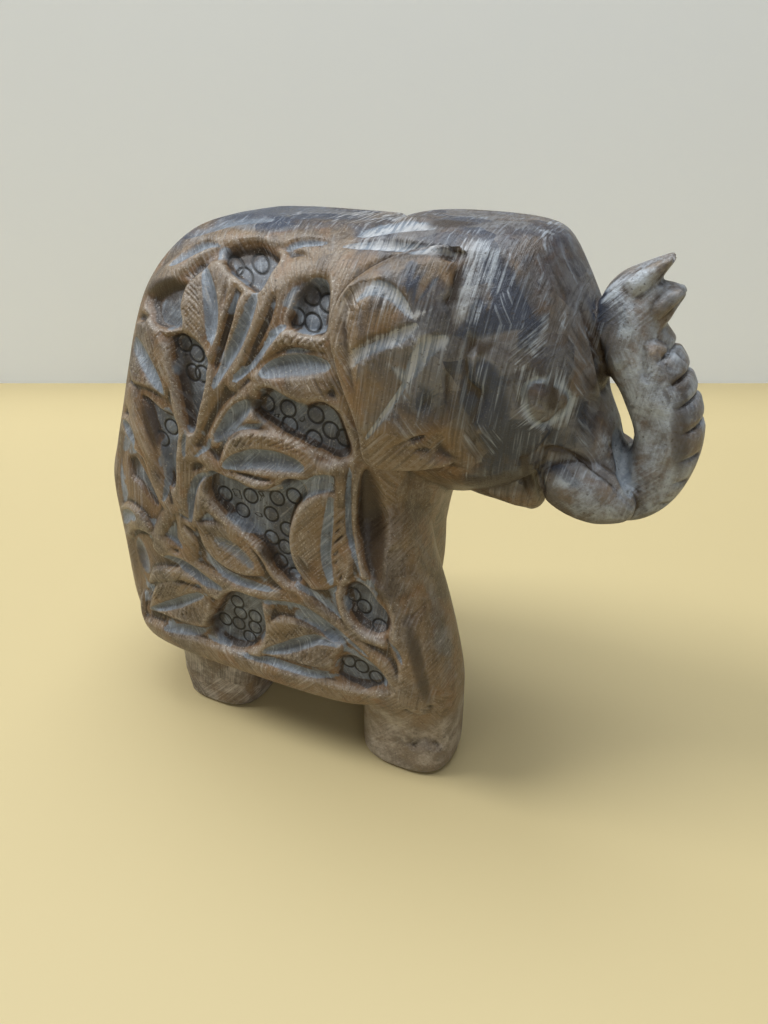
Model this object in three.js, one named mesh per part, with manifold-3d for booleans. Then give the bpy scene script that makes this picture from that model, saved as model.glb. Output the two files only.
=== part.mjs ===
// A small elephant carved from one block of soapstone, standing on its four feet.
// Millimetres, +Z up. It looks along +X, its right flank faces -Y, and the origin is on the ground in the
// middle of its length and width.
//
// Every section below is measured from a setting-out point on the ground, half way between the two right
// feet and under the backbone. The finished carving is moved to the middle of its length at the end.

import * as THREE from "three";
import { mergeVertices } from "three/addons/utils/BufferGeometryUtils.js";
import Module from "manifold-3d";

// ---- Driving sizes ----

const topHeight = 76.3;
const bellyHeight = 11.3;
const flankHalfWidth = 18.6;
const rumpReach = -34.5;
const shoulderReach = 16;
const foreheadReach = 36;

const footHalfLength = 7.2;
const footHalfWidth = 6.4;
const footBevel = 0.8;
const footSide = 9;

const pocketDepth = 2.4;
const grooveDepth = 1.3;
const trunkHalfWidth = 4.8;

const bodySquareness = 3.3;
const legSquareness = 2.8;
const headSquareness = 2.5;

// ---- Closed surfaces from rings ----

// Joins rings of points, listed anticlockwise as seen from the far end, and closes both ends with a fan.
function loft(rings) {
  const sides = rings[0].length;
  const points = rings.flat();
  const faces = [];
  for (let ring = 0; ring < rings.length - 1; ring += 1) {
    for (let side = 0; side < sides; side += 1) {
      const here = ring * sides + side;
      const beside = ring * sides + ((side + 1) % sides);
      faces.push(here, beside, beside + sides);
      faces.push(here, beside + sides, here + sides);
    }
  }
  const lastRing = (rings.length - 1) * sides;
  const firstCentre = points.length;
  points.push(middleOf(rings[0]), middleOf(rings[rings.length - 1]));
  for (let side = 0; side < sides; side += 1) {
    const next = (side + 1) % sides;
    faces.push(firstCentre, next, side);
    faces.push(firstCentre + 1, lastRing + side, lastRing + next);
  }
  const geometry = new THREE.BufferGeometry().setFromPoints(points);
  geometry.setIndex(faces);
  return geometry;
}

function middleOf(ring) {
  const sum = new THREE.Vector3();
  for (const point of ring) {
    sum.add(point);
  }
  return sum.divideScalar(ring.length);
}

// A point of a superellipse: an oval that gets squarer as its exponent rises above 2.
function ovalPoint(angle, squareness) {
  const power = 2 / squareness;
  const along = Math.sign(Math.cos(angle)) * Math.abs(Math.cos(angle)) ** power;
  const across = Math.sign(Math.sin(angle)) * Math.abs(Math.sin(angle)) ** power;
  return [along, across];
}

// Values read smoothly between the rows of a table, a row being a list of numbers.
function smoothRows(rows, steps) {
  const splines = rows[0].map((_, column) => {
    const points = rows.map((row, index) => new THREE.Vector2(index, row[column]));
    return new THREE.SplineCurve(points);
  });
  const read = [];
  for (let step = 0; step <= steps; step += 1) {
    read.push(splines.map((spline) => spline.getPoint(step / steps).y));
  }
  return read;
}

// A mass built up in level slices. A row is height, back, front, half width, sideways place.
function slices(rows, squareness, sides, steps) {
  const rings = smoothRows(rows, steps).map(([level, back, front, half, side]) => {
    const ring = [];
    for (let index = 0; index < sides; index += 1) {
      const [along, across] = ovalPoint((2 * Math.PI * index) / sides, squareness);
      const x = (back + front) / 2 + (along * (front - back)) / 2;
      ring.push(new THREE.Vector3(x, side + across * half, level));
    }
    return ring;
  });
  return loft(rings);
}

// A limb swept along a path in the upright middle plane. A row is x, z, half thickness, half width.
function limb(rows, sides, steps) {
  const read = smoothRows(rows, steps);
  const rings = read.map(([x, z, thick, half], index) => {
    const before = read[Math.max(index - 1, 0)];
    const after = read[Math.min(index + 1, steps)];
    const heading = new THREE.Vector2(after[0] - before[0], after[1] - before[1]).normalize();
    const ring = [];
    for (let side = 0; side < sides; side += 1) {
      const [along, across] = ovalPoint((2 * Math.PI * side) / sides, headSquareness);
      const outX = x + heading.y * thick * along;
      const outZ = z - heading.x * thick * along;
      ring.push(new THREE.Vector3(outX, half * across, outZ));
    }
    return ring;
  });
  return loft(rings);
}

// An outline in the x and z directions, given thickness from one sideways place to another.
function plate(outline, fromSide, toSide) {
  const shape = new THREE.Shape(outline.map(([x, z]) => new THREE.Vector2(x, z)));
  const depth = Math.abs(toSide - fromSide);
  const geometry = new THREE.ExtrudeGeometry(shape, { depth, bevelEnabled: false });
  geometry.rotateX(Math.PI / 2);
  geometry.translate(0, Math.max(fromSide, toSide), 0);
  return geometry;
}

// A smooth closed outline through a few points.
function roundOutline(points, steps) {
  const corners = points.map(([x, z]) => new THREE.Vector3(x, 0, z));
  const curve = new THREE.CatmullRomCurve3(corners, true, "centripetal");
  const read = curve.getPoints(steps);
  read.pop();
  return read.map((point) => [point.x, point.z]);
}

// ---- Joining and cutting ----

const wasm = await Module();
wasm.setup();

function solid(geometry) {
  const bare = geometry.clone();
  bare.deleteAttribute("normal");
  bare.deleteAttribute("uv");
  const merged = mergeVertices(bare, 1e-4);
  const vertProperties = new Float32Array(merged.attributes.position.array);
  const triVerts = new Uint32Array(merged.index.array);
  return new wasm.Manifold(new wasm.Mesh({ numProp: 3, vertProperties, triVerts }));
}

function geometryOf(manifold) {
  const mesh = manifold.getMesh();
  const geometry = new THREE.BufferGeometry();
  geometry.setAttribute("position", new THREE.BufferAttribute(mesh.vertProperties, 3));
  geometry.setIndex(new THREE.BufferAttribute(mesh.triVerts, 1));
  return geometry;
}

// The same shape on the other side of the backbone, turned right side out again.
function acrossBackbone(geometry) {
  const bare = geometry.clone();
  bare.deleteAttribute("normal");
  bare.deleteAttribute("uv");
  const other = mergeVertices(bare, 1e-4);
  other.scale(1, -1, 1);
  const faces = other.index.array;
  for (let face = 0; face < faces.length; face += 3) {
    [faces[face], faces[face + 1]] = [faces[face + 1], faces[face]];
  }
  return other;
}

// ---- The masses ----

// height, back, front, half width, sideways place
const bodyRows = [
  [bellyHeight, -26, 9, flankHalfWidth - 2, 0],
  [bellyHeight + 1.1, -31, 11.5, flankHalfWidth - 0.8, 0],
  [14.5, -33.2, 13, flankHalfWidth - 0.4, 0],
  [18, rumpReach, 14.5, flankHalfWidth - 0.2, 0],
  [28, rumpReach, shoulderReach, flankHalfWidth, 0],
  [38, rumpReach, shoulderReach, flankHalfWidth, 0],
  [44, -32.5, shoulderReach, flankHalfWidth - 0.1, 0],
  [50, -30.2, shoulderReach, flankHalfWidth - 0.3, 0],
  [56, -28.2, shoulderReach, flankHalfWidth - 0.9, 0],
  [62, -26.2, shoulderReach, flankHalfWidth - 1.9, 0],
  [67, -24, shoulderReach, flankHalfWidth - 3.4, 0],
  [71, -21, 15.5, flankHalfWidth - 6.2, 0],
  [73.8, -17, 14.5, flankHalfWidth - 9.6, 0],
  [75.3, -10, 12, flankHalfWidth - 13.8, 0],
];

// The lower edge of the blanket, a shallow flat band that hangs straight down each side.
const skirtRows = [
  [bellyHeight + 0.4, -25.5, 12, 3.2, -14.2],
  [bellyHeight + 1.4, -28, 13, 4, -14.2],
  [16, -29, 14, flankHalfWidth - 14.2, -14.2],
  [23, -28, 14, 4, -14.2],
];

const chestRows = [
  [16, -3, 10, 9, 0.5],
  [22, -3, 13, 11, 0.5],
  [28, -3, 15, 12, 0.5],
  [34, -3, shoulderReach, 12, 0.5],
  [40, -2, 17, 12, 0.5],
  [46, 0, 19, 11, 0],
  [54, 4, 24, 10.5, 0],
];

const headRows = [
  [41.3, 11, 20, 2, 0],
  [43.5, 8.5, 24.5, 5, 0],
  [46.5, 6, 28.5, 9.2, 0],
  [50, 4.5, 32, 11.8, 0],
  [55, 4, foreheadReach - 1.2, 12.8, 0],
  [60, 4, foreheadReach - 0.2, 13.2, 0],
  [65, 5, foreheadReach - 1.2, 13, 0],
  [69.5, 6, foreheadReach - 3.2, 12, 0],
  [73, 7.5, foreheadReach - 5.4, 10.4, 0],
  [75.4, 9, foreheadReach - 7.4, 8, 0],
  [topHeight, 12, foreheadReach - 10.5, 4.5, 0],
];

// A leg's foot is a straight stub. It widens at the belly and leans into the mass above.
function footRows(footX, side) {
  const back = footX - footHalfLength;
  const front = footX + footHalfLength;
  return [
    [0, back + footBevel, front - footBevel, footHalfWidth - footBevel, side],
    [footBevel * 2, back, front, footHalfWidth, side],
    [bellyHeight * 0.85, back, front, footHalfWidth, side],
  ];
}

const nearFrontRows = [
  ...footRows(15.9, -footSide),
  [14.5, 7.6, 22.9, 7.7, -9.6],
  [21, 5, 21.6, 8.2, -9.8],
  [27, 3, 19.8, 8.4, -9.6],
  [33, 2, 17.8, 8.2, -9.4],
  [39, 2, 16.2, 7.4, -8.8],
  [45, 4, 14.5, 5.6, -7.4],
];
const farFrontRows = [
  ...footRows(4.6, footSide),
  [14.5, -3.4, 12.2, 7.7, 9.4],
  [21, -4, 12.8, 8.2, 9.6],
  [31, -4, 14.2, 8.4, 9.4],
  [40, -4, 14.8, 7.6, 9],
];
const nearRearRows = [...footRows(-17.4, -footSide), [18, -25.4, -9.4, 7.4, -footSide]];
const farRearRows = [...footRows(-21.6, footSide), [18, -29.4, -13.6, 7.4, footSide]];

// x, z, half thickness, half width
const muzzleRows = [
  [25, 62, 8, 9],
  [29, 56, 7.4, 9.2],
  [32.5, 51.5, 5.4, 7.6],
  [35.5, 48.5, 3.4, 5.6],
];
const lipRows = [
  [19, 48, 4, 5],
  [23.6, 45, 3.2, 4.2],
  [27.2, 42.3, 2, 2.6],
  [29, 41, 0.7, 1],
];

// The trunk drops from the face, turns under and rises in front of it, and leans back on the forehead.
const trunkRows = [
  [30, 60, 4.5, trunkHalfWidth + 1.7],
  [34, 54, 3.4, trunkHalfWidth + 0.7],
  [36.8, 49, 3.4, trunkHalfWidth + 0.3],
  [39.8, 45.9, 3.5, trunkHalfWidth + 0.2],
  [42.7, 48.3, 3.7, trunkHalfWidth + 0.1],
  [43.6, 54.2, 3.9, trunkHalfWidth],
  [40.9, 60.4, 4, trunkHalfWidth - 0.3],
  [37.4, 65, 3.8, trunkHalfWidth - 0.6],
  [36.7, 69.1, 2.7, trunkHalfWidth - 1.3],
  [38.6, 71.8, 1.4, trunkHalfWidth - 2],
  [40.7, 73.8, 0.4, trunkHalfWidth - 3.2],
];
// The lower of the two finger tips at the end of the trunk.
const fingerRows = [
  [37.8, 66.4, 2.4, trunkHalfWidth - 1.2],
  [40.1, 69, 2.2, trunkHalfWidth - 1.8],
  [42.4, 70.4, 0.5, trunkHalfWidth - 3.2],
];

// ---- Features made once and repeated across the backbone ----

// A blunt leaf lying along the cheek, from the corner of the mouth to the bend of the trunk.
function tusk() {
  const geometry = new THREE.SphereGeometry(1, 14, 8);
  geometry.scale(6.4, 2.6, 3.6);
  geometry.rotateY(THREE.MathUtils.degToRad(20));
  geometry.rotateZ(THREE.MathUtils.degToRad(12));
  geometry.translate(36, -6.2, 47.4);
  return geometry;
}

function eyeball() {
  const geometry = new THREE.SphereGeometry(1, 8, 5);
  geometry.scale(1.4, 0.9, 1.9);
  geometry.rotateZ(THREE.MathUtils.degToRad(30));
  geometry.translate(30.9, -10.8, 60.3);
  return geometry;
}

// The ear hangs from the crown and lies back over the neck. Its outer face swells like the blanket does.
const earOutline = roundOutline(
  [
    [22.4, 75.5],
    [15.8, 74.6],
    [10.4, 71.8],
    [8, 67.6],
    [9, 61.6],
    [11.2, 55.6],
    [12.2, 50.2],
    [16, 53],
    [19.4, 56.4],
    [23, 66],
  ],
  22,
);
const earSwellRows = [
  [46, -8, 24, flankHalfWidth - 3, 0],
  [56, -8, 26, flankHalfWidth - 1, 0],
  [65, -8, 26, flankHalfWidth - 1.2, 0],
  [71, -8, 26, flankHalfWidth - 3, 0],
  [77, -8, 26, flankHalfWidth - 8, 0],
];

const joined = [
  slices(skirtRows, bodySquareness, 20, 3),
  acrossBackbone(slices(skirtRows, bodySquareness, 20, 3)),
  slices(chestRows, headSquareness, 20, 6),
  slices(headRows, headSquareness, 28, 11),
  slices(nearFrontRows, legSquareness, 18, 9),
  slices(farFrontRows, legSquareness, 18, 6),
  slices(nearRearRows, legSquareness, 18, 3),
  slices(farRearRows, legSquareness, 18, 3),
  limb(muzzleRows, 14, 4),
  limb(lipRows, 10, 5),
  limb(trunkRows, 12, 22),
  limb(fingerRows, 8, 3),
  tusk(),
  acrossBackbone(tusk()),
  eyeball(),
  acrossBackbone(eyeball()),
];

let carving = solid(slices(bodyRows, bodySquareness, 40, 16));
for (const mass of joined) {
  carving = carving.add(solid(mass));
}
const earSwell = solid(slices(earSwellRows, headSquareness, 28, 6));
const nearEarBlank = plate(earOutline, -20, -10);
for (const blank of [nearEarBlank, acrossBackbone(nearEarBlank)]) {
  carving = carving.add(solid(blank).intersect(earSwell));
}

// ---- Carving cut into the surface ----

const bodyProfile = smoothRows(bodyRows, 120);

function bodyRowAt(height) {
  const fitting = bodyProfile.find((row) => row[0] >= height);
  return fitting ?? bodyProfile[bodyProfile.length - 1];
}

// The place on the right flank at a distance along the backbone and a height.
function onFlank(x, z) {
  const [, back, front, half] = bodyRowAt(z);
  const along = Math.min(Math.abs(2 * x - back - front) / (front - back), 0.9);
  const out = half * (1 - along ** bodySquareness) ** (1 / bodySquareness);
  return new THREE.Vector3(x, -out, z);
}

// The place on the rump at a distance to the right of the backbone and a height.
function onRump(right, z) {
  const [, back, front, half] = bodyRowAt(z);
  const across = Math.min(Math.abs(right) / half, 0.9);
  const out = ((front - back) / 2) * (1 - across ** bodySquareness) ** (1 / bodySquareness);
  return new THREE.Vector3((back + front) / 2 - out, -right, z);
}

// The place on the upper part of the right front leg, which stands out level with the flank.
function onLeg(x, z) {
  return new THREE.Vector3(x, -flankHalfWidth + 0.8, z);
}

// Directions along, up and out of the surface at a place on it.
function surfaceFrame(place, first, height) {
  const step = 1;
  const here = place(first, height);
  const along = place(first + step, height).sub(place(first - step, height)).normalize();
  const up = place(first, height + step).sub(place(first, height - step)).normalize();
  const out = new THREE.Vector3().crossVectors(along, up).normalize();
  up.crossVectors(out, along);
  return { here, along, up, out };
}

// A sunk pocket with steep walls: an oval, or an egg where it is given a taper.
function pocket(place, [first, height, halfLength, halfWidth, turn, taper]) {
  const { here, along, up, out } = surfaceFrame(place, first, height);
  const sides = 12;
  const clear = 5;
  const outline = [];
  for (let side = 0; side < sides; side += 1) {
    const angle = (2 * Math.PI * side) / sides;
    const swell = 1 + taper * Math.cos(angle);
    outline.push(new THREE.Vector2(halfLength * Math.cos(angle), halfWidth * Math.sin(angle) * swell));
  }
  const depth = pocketDepth + clear;
  const geometry = new THREE.ExtrudeGeometry(new THREE.Shape(outline), { depth, bevelEnabled: false });
  geometry.translate(0, 0, -pocketDepth);
  geometry.rotateZ(THREE.MathUtils.degToRad(turn));
  geometry.applyMatrix4(new THREE.Matrix4().makeBasis(along, up, out));
  geometry.translate(here.x, here.y, here.z);
  return geometry;
}

// A groove with a V section that runs out to nothing at both ends. It follows the surface in a shallow arc,
// and bow is how far the arc's middle stands off its chord.
function groove(place, [first0, height0, first1, height1, bow, halfWidth]) {
  const steps = 5;
  const start = new THREE.Vector2(first0, height0);
  const end = new THREE.Vector2(first1, height1);
  const chord = end.clone().sub(start);
  const square = new THREE.Vector2(-chord.y, chord.x).normalize();
  const rings = [];
  for (let step = 0; step <= steps; step += 1) {
    const t = step / steps;
    const swell = Math.max(Math.sin(Math.PI * t), 0.05);
    const point = start.clone().addScaledVector(chord, t).addScaledVector(square, bow * swell);
    const { here, along, up, out } = surfaceFrame(place, point.x, point.y);
    const across = along.multiplyScalar(square.x).addScaledVector(up, square.y);
    rings.push([
      here.clone().addScaledVector(across, halfWidth * swell),
      here.clone().addScaledVector(out, grooveDepth * swell),
      here.clone().addScaledVector(across, -halfWidth * swell),
      here.clone().addScaledVector(out, -grooveDepth * swell),
    ]);
  }
  return loft(rings);
}

// along, height, half length, half width, turn in degrees, taper
const flankPockets = [
  [4.6, 54.8, 6.8, 3.2, -6, 0],
  [5.4, 68, 3.3, 3, 0, 0],
  [-3.6, 43.6, 7.2, 2.4, 14, 0.2],
  [0.6, 37.6, 7, 2.5, -97, -0.3],
  [-8.8, 21.2, 5.4, 4.4, 60, 0],
  [-11.8, 59, 5.6, 2.4, -72, 0],
  [-13, 66, 3.6, 2.6, 20, 0],
  [-18, 47.6, 6.4, 2.4, 62, 0],
];
// start along, start height, end along, end height, bow, half width
const flankLeaves = [
  [-8, 60, -6.6, 70, 0.6, 1.5],
  [-4, 58.5, 3, 69, 0.8, 1.2],
  [-2, 60, 7.5, 63, -0.8, 1.6],
  [-11, 47.5, -1.5, 56, 1, 1.6],
  [-8.5, 46.6, 8, 49.6, -0.6, 1.5],
  [-13.5, 36, -2.5, 28.8, -2, 1.6],
  [6.6, 31, 8, 45.5, 0.6, 1.5],
  [8, 22.6, -5, 16.6, 0.8, 1.5],
  [-14, 24.6, -25, 18.6, 0.8, 1.5],
  [-15.5, 54, -19.5, 62.5, 0.4, 1.7],
  [-15, 29, -25, 31.5, 0.6, 1.2],
  [11.2, 50, 11.4, 35, 0, 1.1],
];
const legPockets = [
  [11.6, 18.6, 3.8, 2, -8, 0],
  [12.6, 30, 4, 2.4, -42, 0],
];
const rumpPockets = [
  [6, 50, 4.5, 2.6, 60, 0],
  [-6, 50, 4.5, 2.6, -60, 0],
  [0, 27, 5, 3, 90, 0],
];
const rumpLeaves = [
  [0, 38, 0, 62, 0, 1.6],
  [1.5, 36, 11, 44, -1, 1.6],
  [-1.5, 36, -11, 44, 1, 1.6],
  [3, 20, 11, 32, 1, 1.5],
  [-3, 20, -11, 32, -1, 1.5],
];

for (const cut of flankPockets) {
  const nearCut = pocket(onFlank, cut);
  carving = carving.subtract(solid(nearCut)).subtract(solid(acrossBackbone(nearCut)));
}
for (const cut of flankLeaves) {
  const nearCut = groove(onFlank, cut);
  carving = carving.subtract(solid(nearCut)).subtract(solid(acrossBackbone(nearCut)));
}
for (const cut of legPockets) {
  carving = carving.subtract(solid(pocket(onLeg, cut)));
}
for (const cut of rumpPockets) {
  carving = carving.subtract(solid(pocket(onRump, cut)));
}
for (const cut of rumpLeaves) {
  carving = carving.subtract(solid(groove(onRump, cut)));
}

// ---- The trunk's ridges and its opening ----

// The trunk's outer edge is nicked across into a row of ridges, from the bend up to the finger tips.
const trunkProfile = smoothRows(trunkRows, 90);
const firstNick = 37;
const lastNick = 65;
const nickSpacing = 4;
const nickDepth = 0.9;
const nickHalfWidth = 0.9;

function trunkNick(place) {
  const [x, z, thick] = trunkProfile[place];
  const [nextX, nextZ] = trunkProfile[place + 1];
  const heading = new THREE.Vector2(nextX - x, nextZ - z).normalize();
  const outward = new THREE.Vector2(heading.y, -heading.x);
  const edge = new THREE.Vector2(x, z).addScaledVector(outward, thick);
  const root = edge.clone().addScaledVector(outward, -nickDepth);
  const mouth = edge.clone().addScaledVector(outward, nickDepth);
  const before = mouth.clone().addScaledVector(heading, -nickHalfWidth * 2);
  const after = mouth.clone().addScaledVector(heading, nickHalfWidth * 2);
  const outline = [root, before, after].map((corner) => [corner.x, corner.y]);
  return plate(outline, -trunkHalfWidth * 2, trunkHalfWidth * 2);
}

for (let place = firstNick; place <= lastNick; place += nickSpacing) {
  carving = carving.subtract(solid(trunkNick(place)));
}

// The slot between face and trunk was drilled a little askew, sloping down and back to the left side.
function trunkOpening() {
  const shape = new THREE.Shape();
  shape.absellipse(0, 0, 1.6, 3.4, 0, 2 * Math.PI);
  const depth = trunkHalfWidth * 4;
  const geometry = new THREE.ExtrudeGeometry(shape, { depth, bevelEnabled: false, curveSegments: 7 });
  geometry.rotateZ(THREE.MathUtils.degToRad(14));
  geometry.rotateX(Math.PI / 2);
  geometry.translate(0, depth / 2, 0);
  geometry.applyMatrix4(new THREE.Matrix4().makeShear(0, 0, -0.34, -0.45, 0, 0));
  geometry.translate(38, 0, 55.8);
  return geometry;
}
carving = carving.subtract(solid(trunkOpening()));

// ---- The finished part, moved to the middle of its length ----

const geometry = geometryOf(carving);
geometry.computeBoundingBox();
geometry.translate(-(geometry.boundingBox.min.x + geometry.boundingBox.max.x) / 2, 0, 0);

const stone = new THREE.MeshStandardMaterial({ color: 0x6b6558, roughness: 0.55, metalness: 0 });
const elephant = new THREE.Mesh(geometry, stone);
elephant.name = "elephant_carving";

const group = new THREE.Group();
group.add(elephant);

export default group;
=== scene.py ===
# %% [markdown]
# A soapstone elephant, as long as a hand is wide, carved from one block in the manner of a market workshop.
# The packed part gives the true size and the ground it stands on, so it is loaded first. Everything
# after this cell is the carver's finish: it is one stone, so it becomes one mesh that rides on the one
# body.

# %% The packed part, its box, and the units of this lesson
import math

import bpy
import numpy as np
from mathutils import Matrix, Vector


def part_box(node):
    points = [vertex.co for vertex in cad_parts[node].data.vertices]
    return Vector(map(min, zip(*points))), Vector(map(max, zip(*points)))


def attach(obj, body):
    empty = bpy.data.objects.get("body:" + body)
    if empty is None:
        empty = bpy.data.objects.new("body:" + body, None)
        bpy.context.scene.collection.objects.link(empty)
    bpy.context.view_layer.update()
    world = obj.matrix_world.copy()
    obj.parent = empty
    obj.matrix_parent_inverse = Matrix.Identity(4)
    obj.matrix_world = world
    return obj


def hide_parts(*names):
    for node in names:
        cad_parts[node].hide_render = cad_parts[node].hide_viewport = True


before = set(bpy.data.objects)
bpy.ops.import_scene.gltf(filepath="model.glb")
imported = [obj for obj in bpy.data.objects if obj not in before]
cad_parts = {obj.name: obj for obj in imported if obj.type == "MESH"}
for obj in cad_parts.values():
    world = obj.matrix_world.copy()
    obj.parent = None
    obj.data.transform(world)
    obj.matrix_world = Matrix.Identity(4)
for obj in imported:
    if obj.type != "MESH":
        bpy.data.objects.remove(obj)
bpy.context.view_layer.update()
cad_low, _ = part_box("elephant_carving")
METRES = 0.001
RUMP_AT = -34.595
setting_out = cad_low.x / METRES - RUMP_AT
print("setting-out point lies", round(setting_out, 3), "mm from the middle of the length")

# %% [markdown]
# The camera stands close, 13 cm from the middle of the carving, above the shoulder and a little in front of
# it, and looks down thirty degrees. From so near the head and trunk look large and the rump falls away. The
# lens is given by its length on a 36 mm sensor, and there is no depth of field to hide anything.

# %% The camera
EYE = np.array([48.304, -89.12, 91.0])
TURN = math.radians(25)
LOOK_DOWN = math.radians(30)
LENS = 27.04
SENSOR = 36


def new_object(name, data):
    """Puts a mesh, lamp or camera into the scene."""
    made = bpy.data.objects.new(name, data)
    bpy.context.scene.collection.objects.link(made)
    return made


camera_data = bpy.data.cameras.new("camera")
camera_data.lens = LENS
camera_data.sensor_width = SENSOR
camera_data.clip_start = 0.005
camera = new_object("camera", camera_data)
camera.location = (EYE + (setting_out, 0, 0)) * METRES
camera.rotation_euler = (math.pi / 2 - LOOK_DOWN, 0, TURN)
bpy.context.scene.camera = camera
print("camera", tuple(round(value, 4) for value in camera.location))

# %% [markdown]
# The carver starts from a block and saws away what isn't elephant. Here the block is the other way round:
# a few plain masses, each a stack of ovals, that overlap like clay. An oval with a high exponent is a box
# with soft corners, which is what the blanket over the back is; the head and trunk are rounder.

# %% Rows of a few numbers, read smoothly


def smooth_rows(rows, steps):
    """Reads a table at steps + 1 places by the uniform Catmull-Rom formula, each column on its own."""
    table = np.asarray(rows, float)
    place = np.linspace(0, len(table) - 1, steps + 1)
    start = np.minimum(place.astype(int), len(table) - 2)
    t = (place - start)[:, None]
    before = table[np.maximum(start - 1, 0)]
    here = table[start]
    ahead = table[start + 1]
    beyond = table[np.minimum(start + 2, len(table) - 1)]
    slope_here = (ahead - before) / 2
    slope_ahead = (beyond - here) / 2
    bend = 2 * (here - ahead) + slope_here + slope_ahead
    ease = 3 * (ahead - here) - 2 * slope_here - slope_ahead
    return here + t * (slope_here + t * (ease + t * bend))


def oval(squareness, sides):
    """Points of |a|^n + |b|^n = 1, as two arrays: cosine and sine, each raised to the power 2 / n."""
    angle = np.linspace(0, 2 * np.pi, sides, endpoint=False)
    cosine = np.cos(angle)
    sine = np.sin(angle)
    power = 2 / squareness
    return np.sign(cosine) * np.abs(cosine) ** power, np.sign(sine) * np.abs(sine) ** power


def closed_grid(rings):
    """A closed skin over rings of points, with a fan of faces at each end. Rings run anticlockwise."""
    count, sides, _ = rings.shape
    ends = np.stack([rings[0].mean(0), rings[-1].mean(0)])
    points = np.concatenate([rings.reshape(-1, 3), ends])
    ring, side = np.meshgrid(np.arange(count - 1), np.arange(sides), indexing="ij")
    here = ring * sides + side
    beside = ring * sides + (side + 1) % sides
    around = np.stack([here, beside, beside + sides, here, beside + sides, here + sides], -1).reshape(-1, 3)
    corner = np.arange(sides)
    following = (corner + 1) % sides
    first = np.stack([np.full(sides, count * sides), following, corner], 1)
    top = (count - 1) * sides
    last = np.stack([np.full(sides, count * sides + 1), top + corner, top + following], 1)
    return points, np.concatenate([around, first, last])


def slices(rows, squareness, sides=72, steps=60):
    """Level ovals. A row is height, back, front, half width, sideways place."""
    height, back, front, half, side = smooth_rows(rows, steps).T[:, :, None]
    along, across = oval(squareness, sides)
    x = (back + front) / 2 + along * (front - back) / 2
    y = side + across * half
    return closed_grid(np.stack([x, y, height + 0 * x], -1))


def limb(rows, squareness=2.5, sides=40, steps=120):
    """Ovals square to a path in the upright middle plane. A row is x, z, half thickness, half width."""
    x, z, thick, half = smooth_rows(rows, steps).T
    heading = np.stack([np.gradient(x), np.gradient(z)])
    heading /= np.linalg.norm(heading, axis=0)
    along, across = oval(squareness, sides)
    out_x = x[:, None] + (heading[1] * thick)[:, None] * along
    out_z = z[:, None] - (heading[0] * thick)[:, None] * along
    return closed_grid(np.stack([out_x, half[:, None] * across, out_z], -1))


def across_backbone(shape):
    """The same shape on the other side, with its faces turned the right way out again."""
    points, faces = shape
    return points * (1, -1, 1), faces[:, ::-1]


print("three rows read at five places:", smooth_rows([[0], [1], [4]], 4).ravel())

# %% Body, skirt, chest and head, in millimetres from the setting-out point
BODY_SQUARE = 3.3
LEG_SQUARE = 2.8
HEAD_SQUARE = 2.5
body_rows = [
    [11.3, -26, 9, 16.6, 0],
    [12.4, -31, 11.5, 17.8, 0],
    [14.5, -33.2, 13, 18.2, 0],
    [18, -34.5, 14.5, 18.4, 0],
    [28, -34.5, 16, 18.6, 0],
    [38, -34.5, 16, 18.6, 0],
    [44, -32.5, 16, 18.5, 0],
    [50, -30.2, 16, 18.3, 0],
    [56, -28.2, 16, 17.7, 0],
    [62, -26.2, 16, 16.7, 0],
    [67, -24, 16, 15.2, 0],
    [71, -21, 15.5, 12.4, 0],
    [73.8, -17, 14.5, 9, 0],
    [75.3, -10, 12, 4.8, 0],
]
skirt_rows = [
    [11.7, -25.5, 12, 3.2, -14.2],
    [12.7, -28, 13, 4, -14.2],
    [16, -29, 14, 4.4, -14.2],
    [23, -28, 14, 4, -14.2],
]
chest_rows = [
    [16, -3, 10, 9, 0.5],
    [22, -3, 13, 11, 0.5],
    [28, -3, 15, 12, 0.5],
    [34, -3, 16, 12, 0.5],
    [40, -2, 17, 12, 0.5],
    [46, 0, 19, 11, 0],
    [54, 4, 24, 10.5, 0],
]
head_rows = [
    [41.3, 11, 20, 2, 0],
    [43.5, 8.5, 24.5, 5, 0],
    [46.5, 6, 28.5, 9.2, 0],
    [50, 4.5, 32, 11.8, 0],
    [55, 4, 34.8, 12.8, 0],
    [60, 4, 35.8, 13.2, 0],
    [65, 5, 34.8, 13, 0],
    [69.5, 6, 32.8, 12, 0],
    [73, 7.5, 30.6, 10.4, 0],
    [75.4, 9, 28.6, 8, 0],
    [76.3, 12, 25.5, 4.5, 0],
]
print("body from", body_rows[0][0], "to", body_rows[-1][0], "mm up, head to", head_rows[-1][0])

# %% Muzzle, lip, trunk and its two fingers
muzzle_rows = [[25, 62, 8, 9], [29, 56, 7.4, 9.2], [32.5, 51.5, 5.4, 7.6], [35.5, 48.5, 3.4, 5.6]]
lip_rows = [
    [18, 49, 5, 6],
    [22, 47, 4.8, 6],
    [25.6, 45, 3.9, 5],
    [28.2, 42.6, 2.3, 3.4],
    [29.2, 40.9, 0.9, 1.5],
]
trunk_rows = [
    [30, 60, 4.5, 6.5],
    [34, 54, 3.4, 5.5],
    [36.8, 49, 3.4, 5.1],
    [39.8, 45.9, 3.5, 5],
    [42.7, 48.3, 3.7, 4.9],
    [43.6, 54.2, 3.9, 4.8],
    [40.9, 60.4, 4, 4.5],
    [37.4, 65, 3.8, 4.2],
    [36.7, 69.1, 2.7, 3.5],
    [38.6, 71.8, 1.4, 2.8],
    [40.7, 73.8, 0.4, 1.6],
]
finger_rows = [[37.8, 66.4, 2.4, 3.6], [40.1, 69, 2.2, 3], [42.4, 70.4, 0.5, 1.6]]


print("trunk from", trunk_rows[0][:2], "down and up again to", trunk_rows[-1][:2])

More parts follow.
